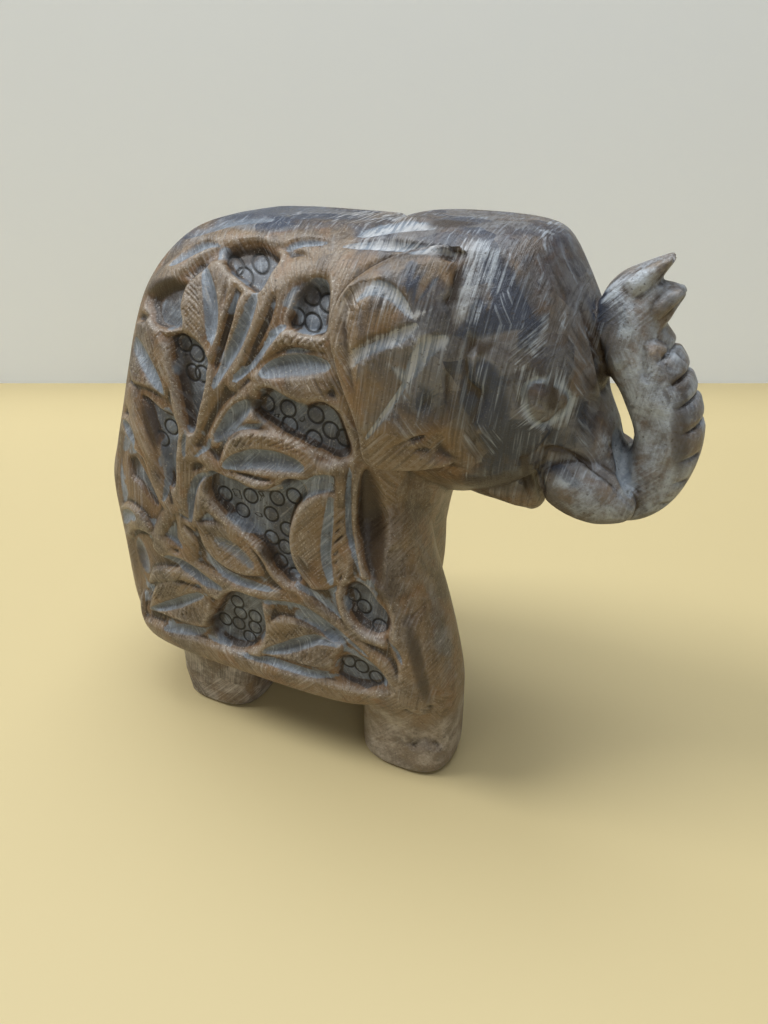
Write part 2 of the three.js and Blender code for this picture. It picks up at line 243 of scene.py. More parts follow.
# %% Feet and legs
FOOT_LONG = 7.2
FOOT_WIDE = 6.4
FOOT_BEVEL = 0.8


def foot_rows(foot_x, side):
    """A straight stub with a bevel at the ground, as rows for slices. Its sizes are halves."""
    back = foot_x - FOOT_LONG
    front = foot_x + FOOT_LONG
    sole = [0, back + FOOT_BEVEL, front - FOOT_BEVEL, FOOT_WIDE - FOOT_BEVEL, side]
    return [sole] + [[height, back, front, FOOT_WIDE, side] for height in (2 * FOOT_BEVEL, 9.6)]


near_front_rows = foot_rows(15.9, -9) + [
    [14.5, 7.6, 22.9, 7.7, -9.6],
    [21, 5, 21.6, 8.2, -9.8],
    [27, 3, 19.8, 8.4, -9.6],
    [33, 2, 17.8, 8.2, -9.4],
    [39, 2, 16.2, 7.4, -8.8],
    [45, 4, 14.5, 5.6, -7.4],
]
far_front_rows = foot_rows(4.6, 9) + [
    [14.5, -3.4, 12.2, 7.7, 9.4],
    [21, -4, 12.8, 8.2, 9.6],
    [31, -4, 14.2, 8.4, 9.4],
    [40, -4, 14.8, 7.6, 9],
]
near_rear_rows = foot_rows(-17.4, -9) + [[18, -25.4, -9.4, 7.4, -9]]
far_rear_rows = foot_rows(-21.6, 9) + [[18, -29.4, -13.6, 7.4, 9]]
print("each foot is", 2 * FOOT_LONG, "by", 2 * FOOT_WIDE, "mm")

# %% Ear, tusk and eyeball


def egg(middle, half_sizes, tilt_up, turn_out):
    """A ball stretched to its half sizes, tipped about the sideways axis, then turned about the upright."""
    rise = np.linspace(-np.pi / 2, np.pi / 2, 25)[1:-1]
    around = np.linspace(0, 2 * np.pi, 32, endpoint=False)
    rise, around = np.meshgrid(rise, around, indexing="ij")
    ball = np.stack([np.cos(rise) * np.cos(around), np.cos(rise) * np.sin(around), np.sin(rise)], -1)
    points, faces = closed_grid(ball * half_sizes)
    points[-2:] = np.array([[0, 0, -1], [0, 0, 1]]) * half_sizes
    c, s = math.cos(tilt_up), math.sin(tilt_up)
    points = points @ np.array([[c, 0, s], [0, 1, 0], [-s, 0, c]]).T
    c, s = math.cos(turn_out), math.sin(turn_out)
    points = points @ np.array([[c, -s, 0], [s, c, 0], [0, 0, 1]]).T
    return points + middle, faces


def ear_blank():
    """The ear's outline, carried outward from y = -10 and domed over: its face stands off the backbone by
    half (1 - 0.36 a^2), where a runs from 0 at the middle of the ear to 1 at the cheek, and half depends on
    the height."""
    outline = [(21.2, 74.3), (15.8, 74.4), (10.4, 71.8), (8, 67.6), (9, 61.6), (11.2, 55.6), (11.8, 50.6),
               (16, 49.8), (23, 51), (26, 57), (25, 66)]
    edge = smooth_rows(outline[-1:] + outline + outline[:2], 130)[10:-10]
    shrink = np.concatenate([[1, 1, 0.985], np.linspace(0.95, 0.05, 24)])[:, None, None]
    middle = np.array([16.5, 62.5])
    face = middle + shrink * (edge[:-1] - middle)
    half = np.interp(face[..., 1], [46, 56, 65, 71, 77], [15.6, 17.7, 17.5, 15.6, 10.6])
    along = np.clip((face[..., 0] - 10) / 14, 0, 1.2)
    out = half * (1 - 0.36 * along**2)
    out[0] = 10
    out[1] -= 0.5
    return closed_grid(np.stack([face[..., 0], -out, face[..., 1]], -1))


tusk = egg((36, -6.2, 47.4), (6.4, 2.6, 3.6), math.radians(20), math.radians(12))
eyeball = egg((30.9, -10.8, 60.3), (1.4, 0.9, 1.9), 0, math.radians(30))
print("ear", len(ear_blank()[0]), "points, tusk", len(tusk[0]), "points")

# %% All the masses, the paired ones on both sides
masses = [
    slices(body_rows, BODY_SQUARE, 120, 90),
    slices(skirt_rows, BODY_SQUARE, 72, 30),
    across_backbone(slices(skirt_rows, BODY_SQUARE, 72, 30)),
    slices(chest_rows, HEAD_SQUARE),
    slices(head_rows, HEAD_SQUARE),
    slices(near_front_rows, LEG_SQUARE),
    slices(far_front_rows, LEG_SQUARE),
    slices(near_rear_rows, LEG_SQUARE),
    slices(far_rear_rows, LEG_SQUARE),
    limb(muzzle_rows),
    limb(lip_rows),
    limb(trunk_rows),
    limb(finger_rows),
    ear_blank(),
    across_backbone(ear_blank()),
    tusk,
    across_backbone(tusk),
    eyeball,
    across_backbone(eyeball),
]
print(len(masses), "masses")

# %% [markdown]
# Overlapping masses become one skin with a voxel remesh: Blender samples the inside and outside on a fine
# grid and draws a new surface between them, as if the pieces had been one stone all along. Booleans would
# keep the knife-sharp meetings; the grid lets them be rubbed down afterwards, which is what sandpaper does.

# %% One skin over all the masses
GRAIN = 0.19


def read(data, what, width, kind=np.float32):
    """One property of every vertex, edge or attribute value, as rows of a few numbers."""
    values = np.empty(len(data) * width, kind)
    data.foreach_get(what, values)
    return values.reshape(-1, width).astype(float if kind == np.float32 else kind)


def modified(thing, kind, **settings):
    """The mesh that a modifier makes of an object, as a new mesh."""
    modifier = thing.modifiers.new(kind.lower(), kind)
    for setting, value in settings.items():
        setattr(modifier, setting, value)
    made = bpy.data.meshes.new_from_object(thing.evaluated_get(bpy.context.evaluated_depsgraph_get()))
    thing.modifiers.clear()
    return made


starts = np.cumsum([0] + [len(points) for points, _ in masses])
block = bpy.data.meshes.new("block")
all_points = np.concatenate([points for points, _ in masses])
all_faces = np.concatenate([faces + start for (_, faces), start in zip(masses, starts)])
block.from_pydata(all_points, [], all_faces)
carving = new_object("soapstone_elephant", block)
carving.data = modified(carving, "REMESH", mode="VOXEL", voxel_size=GRAIN)
skin = read(carving.data.vertices, "co", 3)
edges = read(carving.data.edges, "vertices", 2, np.int32)
print(len(skin), "points on the skin")

# %% Rubbing down and other helpers


def rubbed(values, rounds, weight=0.5):
    """Moves each value toward the mean of its neighbours along the edges, again and again."""
    count = len(values)
    neighbours = np.bincount(edges.ravel(), minlength=count)[:, None]
    first, second = edges.T
    for _ in range(rounds):
        totals = [
            np.bincount(first, column[second], count) + np.bincount(second, column[first], count)
            for column in values.T
        ]
        values = values + weight * (np.stack(totals, 1) / neighbours - values)
    return values


def ramp(value, low, high):
    """Zero below low, one above high, and 3t^2 - 2t^3 between them."""
    t = np.clip((value - low) / (high - low), 0, 1)
    return t * t * (3 - 2 * t)


def facing_out(points):
    """Moves the skin to these points and gives the outward direction at each."""
    carving.data.vertices.foreach_set("co", points.astype(np.float32).ravel())
    carving.data.update()
    return read(carving.data.vertex_normals, "vector", 3)


def between(value, low, high, far_high, far_low):
    """A level top: it rises from low to high, and falls again from far_high to far_low."""
    return ramp(value, low, high) * ramp(-value, -far_low, -far_high)


print("each point has about", round(2 * len(edges) / len(skin), 1), "neighbours")

# %% Meetings rubbed smooth, the far front edge set back
EVEN_ROUNDS = 12
EAR_ROUNDS = 60
OUTWARD_ROUNDS = 20

skin = rubbed(skin, EVEN_ROUNDS)
x, y, z = skin.T
behind_ear = between(x, 17, 20, 25, 27.5) * between(z, 46, 48.5, 64, 68) * ramp(np.abs(y), 8, 10)
skin = skin + behind_ear[:, None] * (rubbed(skin, EAR_ROUNDS) - skin)
x, y, z = skin.T
set_back = 2 * ramp(y, 1, 6) + 1.5 * ramp(y, 9, 14)
skin[:, 0] -= set_back * ramp(x, 0, 9) * between(z, 8, 16, 38, 50)
outward = rubbed(facing_out(skin), OUTWARD_ROUNDS)
outward /= np.linalg.norm(outward, axis=1)[:, None]
print("rubbed down, and the far front edge set back by up to", set_back.max().round(1), "mm")

# %% [markdown]
# The carver draws the plants on the flank before cutting. The drawing here is on a flat sheet held 18 mm to
# the right of the backbone, and it is carried on to the stone along straight lines from one eye point, so a
# leaf keeps its drawn shape where the back rounds over. The left flank carries the same drawing turned
# over.

# %% From stone to drawing sheet
SHEET = -18.0
HEAD_SHEET = -13.0


def on_sheet(points, sheet):
    """Where the line from the eye through a point meets the upright plane y = sheet: along and up."""
    nearer = points * (1, 0, 1) - np.abs(points[:, 1:2]) * (0, 1, 0)
    reach = (sheet - EYE[1]) / (nearer[:, 1] - EYE[1])
    drawn = EYE + reach[:, None] * (nearer - EYE)
    return drawn[:, [0, 2]]


def seen_from_eye(points, normals):
    """The cosine between the outward direction and the line to the eye, the left side turned over first."""
    turn_over = np.where(points[:, 1:2] > 0, (1, -1, 1), (1, 1, 1))
    to_eye = EYE - points * turn_over
    to_eye /= np.linalg.norm(to_eye, axis=1)[:, None]
    return (to_eye * normals * turn_over).sum(1)


drawn = on_sheet(skin, SHEET)
drawn_head = on_sheet(skin, HEAD_SHEET)
side_weight = ramp(seen_from_eye(skin, outward), 0.02, 0.2)
print("sheet runs from", drawn.min(0).round(1), "to", drawn.max(0).round(1))

# %% Drawn lines and outlines


def smooth_path(points, steps=8):
    """A curve through the points, with this many steps between each two."""
    return smooth_rows(points, steps * (len(points) - 1))


def beside_path(places, path, reach):
    """For places within reach of a path: which they are, the distance to it (positive on its left),
    how far along its length the nearest point lies, and that length."""
    low = path.min(0) - reach
    high = path.max(0) + reach
    near = np.flatnonzero(((places > low) & (places < high)).all(1))
    start = path[:-1]
    run = path[1:] - start
    length = np.linalg.norm(run, axis=1)
    from_start = places[near, None] - start
    share = np.clip((from_start * run).sum(-1) / length**2, 0, 1)
    away = from_start - share[..., None] * run
    distance = np.hypot(away[..., 0], away[..., 1])
    best = distance.argmin(1)
    row = np.arange(len(near))
    turn = run[best, 0] * away[row, best, 1] - run[best, 1] * away[row, best, 0]
    travelled = np.concatenate([[0], np.cumsum(length)[:-1]])[best] + share[row, best] * length[best]
    return near, distance[row, best] * np.sign(turn), travelled, length.sum()


def inside_of(places, closed):
    """Whether a line going right from each place crosses the outline an odd number of times."""
    start = closed[:-1]
    end = closed[1:]
    spans = (start[:, 1] > places[:, 1:2]) != (end[:, 1] > places[:, 1:2])
    rise = np.where(end[:, 1] == start[:, 1], 1, end[:, 1] - start[:, 1])
    crossing = start[:, 0] + (places[:, 1:2] - start[:, 1]) * (end[:, 0] - start[:, 0]) / rise
    return (spans & (crossing > places[:, :1])).sum(1) % 2 == 1


def within(places, outline, reach=0.1):
    """Which places are near a closed outline, and how far inside it they are (outside is negative)."""
    closed = smooth_path(outline + outline[:1], 6)
    near, across, along, length = beside_path(places, closed, reach)
    inside = inside_of(places[near], closed)
    return near, np.where(inside, 1, -1) * np.abs(across), along, length


def scatter(number):
    """A repeatable fraction from 0 to 1 for each whole number: the fraction part of a large sine."""
    value = np.sin(number * 12.9898 + 4.1) * 43758.5453
    return value - np.floor(value)


print("scattered:", scatter(np.arange(4)).round(2))

# %% The stroke of each tool, as depths below the blank
STEM_EASE = 0.5
STEM_REST = 0.1
POCKET_WALL = 0.55
POCKET_BLUE = 0.85
CUT_SHARPNESS = 4.5


class Relief:
    """Depths and colour masks gathered over all places on the stone, cut after cut."""

    def __init__(self, count):
        self.depth = np.zeros(count)
        self.notch = np.zeros(count)
        self.blue = np.zeros(count)
        self.pale = np.zeros(count)
        self.pocket_floor = np.zeros(count)

    def lower(self, places, outline, depth, ease):
        """Takes the ground down inside an outline, easing off over a distance from it."""
        near, inside, _, _ = within(places, outline)
        self.depth[near] = np.maximum(self.depth[near], depth * ramp(inside, 0, ease))

    def leave(self, places, outline, ease):
        """Leaves a leaf standing: the ground inside an outline comes back up to the skin."""
        near, inside, _, _ = within(places, outline, 0.4)
        self.depth[near] *= 1 - ramp(inside, -0.15, ease)

    def stem(self, places, path, half):
        """Leaves a round stem standing: just under the skin at its middle, falling as 1 - sqrt(1 - u^2)."""
        near, across, _, _ = beside_path(places, smooth_path(path), half + STEM_EASE)
        across = np.abs(across)
        u = np.minimum(across / half, 1)
        round_top = STEM_REST + 0.5 * half * (1 - np.sqrt(1 - u**2))
        up = ramp(-across, -half - STEM_EASE, -half * 0.6)
        height = np.minimum(round_top, self.depth[near])
        self.depth[near] = self.depth[near] * (1 - up) + height * up
        self.blue[near] *= 1 - up

    def gouge(self, places, path, half, depth, lean=0.0, blue=1.0, pale=0.0):
        """A hollow 1 - u^2 across, u the distance from its deepest line as a share of the half width.
        The width swells as (4 t (1 - t))^0.45 along it, and lean moves the deepest line to the left."""
        path = smooth_path(path)
        near, across, along, length = beside_path(places, path, half)
        t = along / length
        swell = np.clip(4 * t * (1 - t), 0, 1) ** 0.45
        u = across / np.maximum(half * swell, 1e-3)
        share = np.where(u > lean, (u - lean) / (1 - lean), (lean - u) / (1 + lean))
        cut = np.clip(1 - share**2, 0, 1) * (np.abs(u) < 1)
        self.depth[near] = np.maximum(self.depth[near], depth * cut * swell)
        self.blue[near] = np.maximum(self.blue[near], blue * ramp(cut, 0, 0.9))
        self.pale[near] = np.maximum(self.pale[near], pale * ramp(cut, 0.1, 0.9))
        if blue == 0:
            self.blue[near] *= 1 - ramp(cut, 0.05, 0.4)

    def slope(self, places, path, half, depth):
        """Dips the two halves of a leaf toward its midrib in straight slopes, as depth (1 - u), where u is
        the distance from it as a share of the half width. The depth swells as (4 t (1 - t))^0.3."""
        path = smooth_path(path)
        near, across, along, length = beside_path(places, path, half)
        t = along / length
        swell = np.clip(4 * t * (1 - t), 0, 1) ** 0.3
        self.depth[near] += depth * swell * np.clip(1 - np.abs(across) / half, 0, 1)

    def pocket(self, places, outline, depth):
        """A sunk floor inside a closed outline, its wall an ease over a short distance."""
        near, inside, _, _ = within(places, outline, 0.6)
        sunk = ramp(inside, -0.4, POCKET_WALL)
        self.depth[near] = np.maximum(self.depth[near], depth * sunk)
        masked = inside > -0.1
        self.blue[near] = np.where(masked, POCKET_BLUE * ramp(inside, 0.35, 1.1), self.blue[near])
        self.pocket_floor[near] = np.maximum(self.pocket_floor[near], sunk)

    def feather(self, places, path, side, inner, outer, pitch, slant, depth, pale=0.85):
        """Thin cuts a pitch apart that leave the path at a slant, on one side, between two distances.
        Each cut has its own place, strength and reach, as a row of hand strokes does."""
        path = smooth_path(path)
        near, across, along, length = beside_path(places, path, outer)
        away = across * side
        phase = (along - slant * away) / pitch
        number = np.round(phase)
        phase = phase + 0.35 * (scatter(number + 7) - 0.5)
        line = np.clip(1 - np.abs(phase - number) * CUT_SHARPNESS, 0, 1)
        line *= 0.35 + 0.65 * scatter(number)
        far = outer * (0.65 + 0.35 * scatter(number + 31))
        reach = ramp(away, inner, inner + 0.3) * ramp(far - away, 0, 0.5)
        ends = between(along, 0.2, 0.8, length - 0.8, length - 0.2)
        cut = line * reach * ends
        self.notch[near] = np.maximum(self.notch[near], depth * cut)
        self.pale[near] = np.maximum(self.pale[near], pale * cut)


relief = Relief(len(skin))
print("tools ready")

# %% The ground goes down behind the plant
GROUND = 0.85
carved_field = [
    (-28, 16), (-20, 15.2), (-8, 14.9), (4, 15), (12, 15.6), (16.6, 17.6), (17.6, 22), (16.4, 26),
    (16.4, 31), (13.8, 35.2), (11.4, 38), (10.6, 44), (11, 50), (10.4, 56), (9, 61), (8.2, 66),
    (8.8, 70), (8.6, 73), (3, 76.2), (-4, 76.4), (-11, 73.6), (-17, 69.4), (-21, 62), (-25, 52),
    (-28, 40), (-29, 28),
]
FIELD_EASE = 0.9
LEAF_EASE = 0.5
relief.lower(drawn, carved_field, GROUND, FIELD_EASE)

leaf_outlines = [
    [(-8.2, 60.2), (-9.4, 62.4), (-11.8, 64.2), (-12.2, 66.8), (-10.7, 69.2), (-9, 70.9), (-6, 72.9),
     (-4.3, 72.6), (-3.3, 71), (-3.3, 69.4), (-4.6, 66.2), (-6.2, 63)],
    [(-8.3, 57.6), (-6.8, 61.8), (-4.8, 65.6), (-2.9, 69.2), (-1, 70.5), (0.2, 69.4), (-0.9, 66.6),
     (-3.1, 62.4), (-5.4, 59), (-7, 57.2)],
    [(-5, 58.3), (-2, 61.9), (1, 65), (3.2, 66.1), (5.5, 65.8), (8.2, 66), (8.6, 63.9), (4, 64),
     (1, 62.9), (-2, 60.5)],
    [(-3, 59.3), (0.8, 62.6), (4.6, 63.7), (8.8, 63.7), (9.2, 61), (7.8, 58.8), (4.5, 57.5), (1.6, 58.6),
     (-1.5, 59)],
    [(-9, 46.1), (-7.6, 49.6), (-5, 52), (-1, 52.8), (3, 51.8), (5.6, 50), (7, 48.4), (4.8, 47.3),
     (1.4, 46.3), (-2, 44.5), (-5, 44.5), (-7.8, 45.4)],
    [(-9.6, 49.8), (-7.6, 53.4), (-4.6, 56.4), (-2, 57.6), (-2.6, 55.6), (-1.4, 54), (-4.6, 53),
     (-7.2, 50.6)],
    [(-14, 36.9), (-10, 37.8), (-6.6, 36.7), (-4, 33.8), (-3.3, 31), (-6.5, 29.9), (-10, 30.6), (-13, 33)],
    [(4.4, 30.8), (2, 33.6), (1.2, 37), (1.6, 40), (3, 43.3), (5.6, 45.6), (8, 46.4), (9.9, 45.6),
     (10, 42), (9.9, 38.4), (9.2, 35.4), (7.6, 32)],
    [(-6.2, 16.4), (-4.2, 20), (-2.7, 23.5), (0, 24.9), (4, 24.7), (8.8, 22.9), (7.6, 20), (6.8, 17.6),
     (3, 16.6), (-2, 16.2)],
    [(-26, 17.8), (-23.4, 23.2), (-19.6, 25.4), (-15.6, 25.4), (-13.1, 24.9), (-13, 21), (-14.6, 18.2),
     (-19, 17.6)],
    [(-21, 56), (-20.6, 60), (-18.8, 64.2), (-16.8, 64.3), (-15, 60.6), (-14.8, 57), (-15.9, 54.7),
     (-18.4, 55.5)],
    [(-27.6, 32.8), (-27.2, 36.2), (-25.4, 37.2), (-23.2, 36), (-21.6, 33.4), (-24.6, 33.2)],
    [(-24.8, 23.2), (-23, 26.6), (-19, 27.8), (-15, 28.6), (-13.4, 27.4), (-10.4, 26.2), (-13, 25.7),
     (-18, 25.6)],
    [(-23.4, 51.6), (-21.8, 50.6), (-20.8, 46), (-19.6, 41.6), (-21, 44.6), (-23, 46.6), (-24, 49)],
    [(-22.6, 30.6), (-20.6, 33.4), (-18, 31), (-14.2, 29.6), (-17, 28.8), (-20.6, 29)],
]
for outline in leaf_outlines:
    relief.leave(drawn, outline, LEAF_EASE)
print(len(leaf_outlines), "leaves to a side stand", GROUND, "mm off the ground")

# %% Stems, as paths and half widths
stems = [
    ([(-16.4, 26.8), (-16, 31), (-15.6, 36), (-15.4, 41), (-14.6, 46), (-12.8, 51), (-10, 55.6),
      (-8, 58.4)], 1.5),
    ([(-5, 58.6), (-2.6, 62.4), (-0.2, 66.8), (1.6, 70), (4, 72.6), (7.6, 73.4)], 1.1),
    ([(-14, 47), (-11.6, 47.4), (-9.4, 46.4), (-7.6, 45.8)], 0.9),
    ([(-9, 50), (-6.6, 53.6), (-3, 57.4), (-0.4, 59), (3, 58.6), (6, 58.6), (9.4, 58)], 0.75),
    ([(-15, 36.6), (-12.4, 40), (-11.6, 43.4), (-9.6, 45.8)], 0.9),
    ([(-12.4, 43.8), (-11.6, 40.6), (-9, 38.4), (-5.6, 37), (-3.2, 34.6), (-1.2, 31.6), (0.8, 30.2),
      (3.4, 29.4)], 0.8),
    ([(-16, 29.4), (-12, 28), (-7, 27.7), (-2, 28.1), (3, 28.6), (7, 26.6), (11, 23.8), (15, 21.4),
      (16.6, 18.6)], 0.95),
    ([(-14, 26), (-11.6, 25), (-9.6, 26.8), (-6, 27.4)], 0.7),
    ([(-6.6, 16), (-3.8, 17.6), (-3.4, 21), (-3.4, 24.6), (-3, 26)], 0.5),
    ([(11.8, 50), (11.4, 45), (11.4, 40), (12.4, 35.6)], 0.7),
    ([(9.4, 50.6), (9.4, 46), (9.9, 40), (9.6, 36), (8.8, 33), (8.6, 30.4), (9.4, 27.6), (11.6, 25.6),
      (14.6, 25.2)], 0.55),
    ([(9.6, 50), (6.6, 49.4), (4.6, 50.8), (1, 52.9)], 0.6),
    ([(-18.4, 38.4), (-19.6, 41.6), (-20.4, 46), (-21.4, 50.4), (-21.6, 55)], 0.8),
    ([(-16, 37.4), (-16.6, 41.6), (-15.2, 47), (-14.2, 52), (-14.5, 57), (-15, 61), (-16.4, 64.4)], 0.5),
    ([(-20.6, 33.6), (-19, 36), (-17, 38)], 0.8),
    ([(-16, 64.6), (-13.6, 63.9), (-11.2, 64.2)], 0.5),
    ([(-4.8, 72.2), (-2.6, 70.6), (-0.4, 69.8), (1.6, 71.6), (3.2, 74)], 0.6),
    ([(-27, 31.6), (-25, 33), (-21.6, 32.6), (-18, 32)], 0.5),
    ([(-16.8, 66.4), (-15.8, 69), (-12.6, 70.8), (-8, 73.6), (-4, 75.8), (2, 76.2), (8, 76)], 0.8),
]
STEM_BREADTH = 1.35  # times the drawn half width
for path, half in stems:
    relief.stem(drawn, path, STEM_BREADTH * half)
print(len(stems), "stems to a side")

# %% Leaf halves dip toward their midribs
slopes = [
    ([(-7.1, 72.6), (-7, 69), (-7.2, 66), (-7.8, 61.6)], 3.6, 0.55),
    ([(-0.2, 70.2), (-2, 67), (-4, 63.5), (-6.2, 60.3), (-8.2, 57.2)], 1.6, 0.4),
    ([(-1.4, 60), (1.5, 61.3), (4.5, 62.1), (9, 62.6)], 2.6, 0.4),
    ([(-8.6, 46), (-4, 48.2), (-0.5, 49), (2, 49.1), (6, 48.8)], 3.4, 0.55),
    ([(-13.6, 36), (-9, 34.4), (-6, 33), (-3.6, 31.2)], 3, 0.5),
    ([(8.1, 46.2), (7.4, 42), (6.9, 38.5), (6.8, 36), (7.2, 31.6)], 4.6, 0.7),
    ([(9, 22.9), (5, 22.6), (2, 20.7), (-1, 18.8), (-5.4, 16.6)], 3.6, 0.55),
    ([(-13.2, 24.8), (-16.5, 22.9), (-20, 20.7), (-26, 17.8)], 3.8, 0.55),
    ([(-19.2, 63.6), (-18.2, 59.5), (-17.2, 57), (-16, 54.6)], 2.6, 0.4),
]
for path, half, depth in slopes:
    relief.slope(drawn, path, half, depth)
print(len(slopes), "leaves dipped to a side")

# %% Pockets behind the leaves
POCKET_DEPTH = 2.3
pockets = [
    [(-2.6, 55.5), (-1.5, 57.8), (0, 58.5), (2.6, 57.6), (4.5, 57.1), (7, 57.9), (9.2, 57), (10.5, 54.5),
     (11, 52.3), (9.6, 51), (7, 51.2), (4, 52), (1, 52.9), (-1.5, 54)],
    [(3, 67.3), (3.3, 66.2), (5.5, 65.8), (7.8, 66.1), (8.4, 68.5), (8.6, 71.6), (7.4, 72.3), (5.8, 71.4),
     (4.2, 69.6)],
    [(-10.5, 41), (-11, 43.2), (-10, 45.4), (-7, 44.6), (-4, 43.9), (0, 44.6), (1, 46.3), (3, 46.8),
     (4.2, 45), (2.5, 42.4), (1.3, 39), (1.2, 36), (2, 33.5), (2.6, 31.4), (0.8, 30.8), (-1.5, 32.4),
     (-3, 35), (-5, 36.6), (-8, 38.5)],
    [(-12.5, 16), (-13.8, 18), (-13, 21), (-11, 24.5), (-9, 26.3), (-6.5, 26.6), (-4.3, 25.4),
     (-3.9, 21.5), (-4.9, 19), (-7, 16.5), (-9.5, 15.5)],
    [(7.5, 16.6), (7.6, 18.2), (8.2, 20.2), (10, 21.2), (12, 20.7), (14.9, 19.6), (15.3, 18), (13, 16.3),
     (10, 16)],
    [(9.1, 32.8), (9, 30.6), (9.8, 28.3), (11.5, 26.6), (14, 26.2), (15.7, 27.6), (15.9, 29.8),
     (13.8, 31.8), (12.5, 33.4), (10.8, 33.9)],
    [(-14.2, 63.2), (-12.2, 63.8), (-9.2, 62.2), (-8.9, 60.4), (-9.4, 57.6), (-11, 53.6), (-12.2, 50.6),
     (-13.2, 51.2), (-13.8, 55), (-14.2, 59)],
    [(-16.4, 66.6), (-15.6, 68.2), (-12.6, 69.8), (-10.2, 70.1), (-11.4, 67.2), (-11.6, 64.6),
     (-13.6, 63.7), (-16, 64.4)],
    [(-4.6, 73), (-4, 74.5), (0, 75.5), (2, 75), (2.8, 73.9), (1.5, 72.2), (-0.4, 69.9), (-2.4, 71),
     (-3.8, 71.9)],
    [(-20.4, 54.6), (-19.2, 54.2), (-17.2, 52.8), (-15, 52.2), (-14.6, 50.2), (-15.6, 46.5), (-16.4, 42),
     (-17.8, 41.6), (-18.4, 46), (-19.6, 50.4)],
    [(-24.8, 44.6), (-23.4, 45.2), (-22.2, 43.6), (-20.8, 40.4), (-20.2, 37.6), (-21.6, 37.8),
     (-23.4, 40.2), (-24.8, 41.6)],
]
shallow = {4: 1.8, 7: 1.7, 8: 1.9, 9: 1.9, 10: 1.5}
for number, outline in enumerate(pockets):
    relief.pocket(drawn, outline, shallow.get(number, POCKET_DEPTH))
print(len(pockets), "pockets to a side")

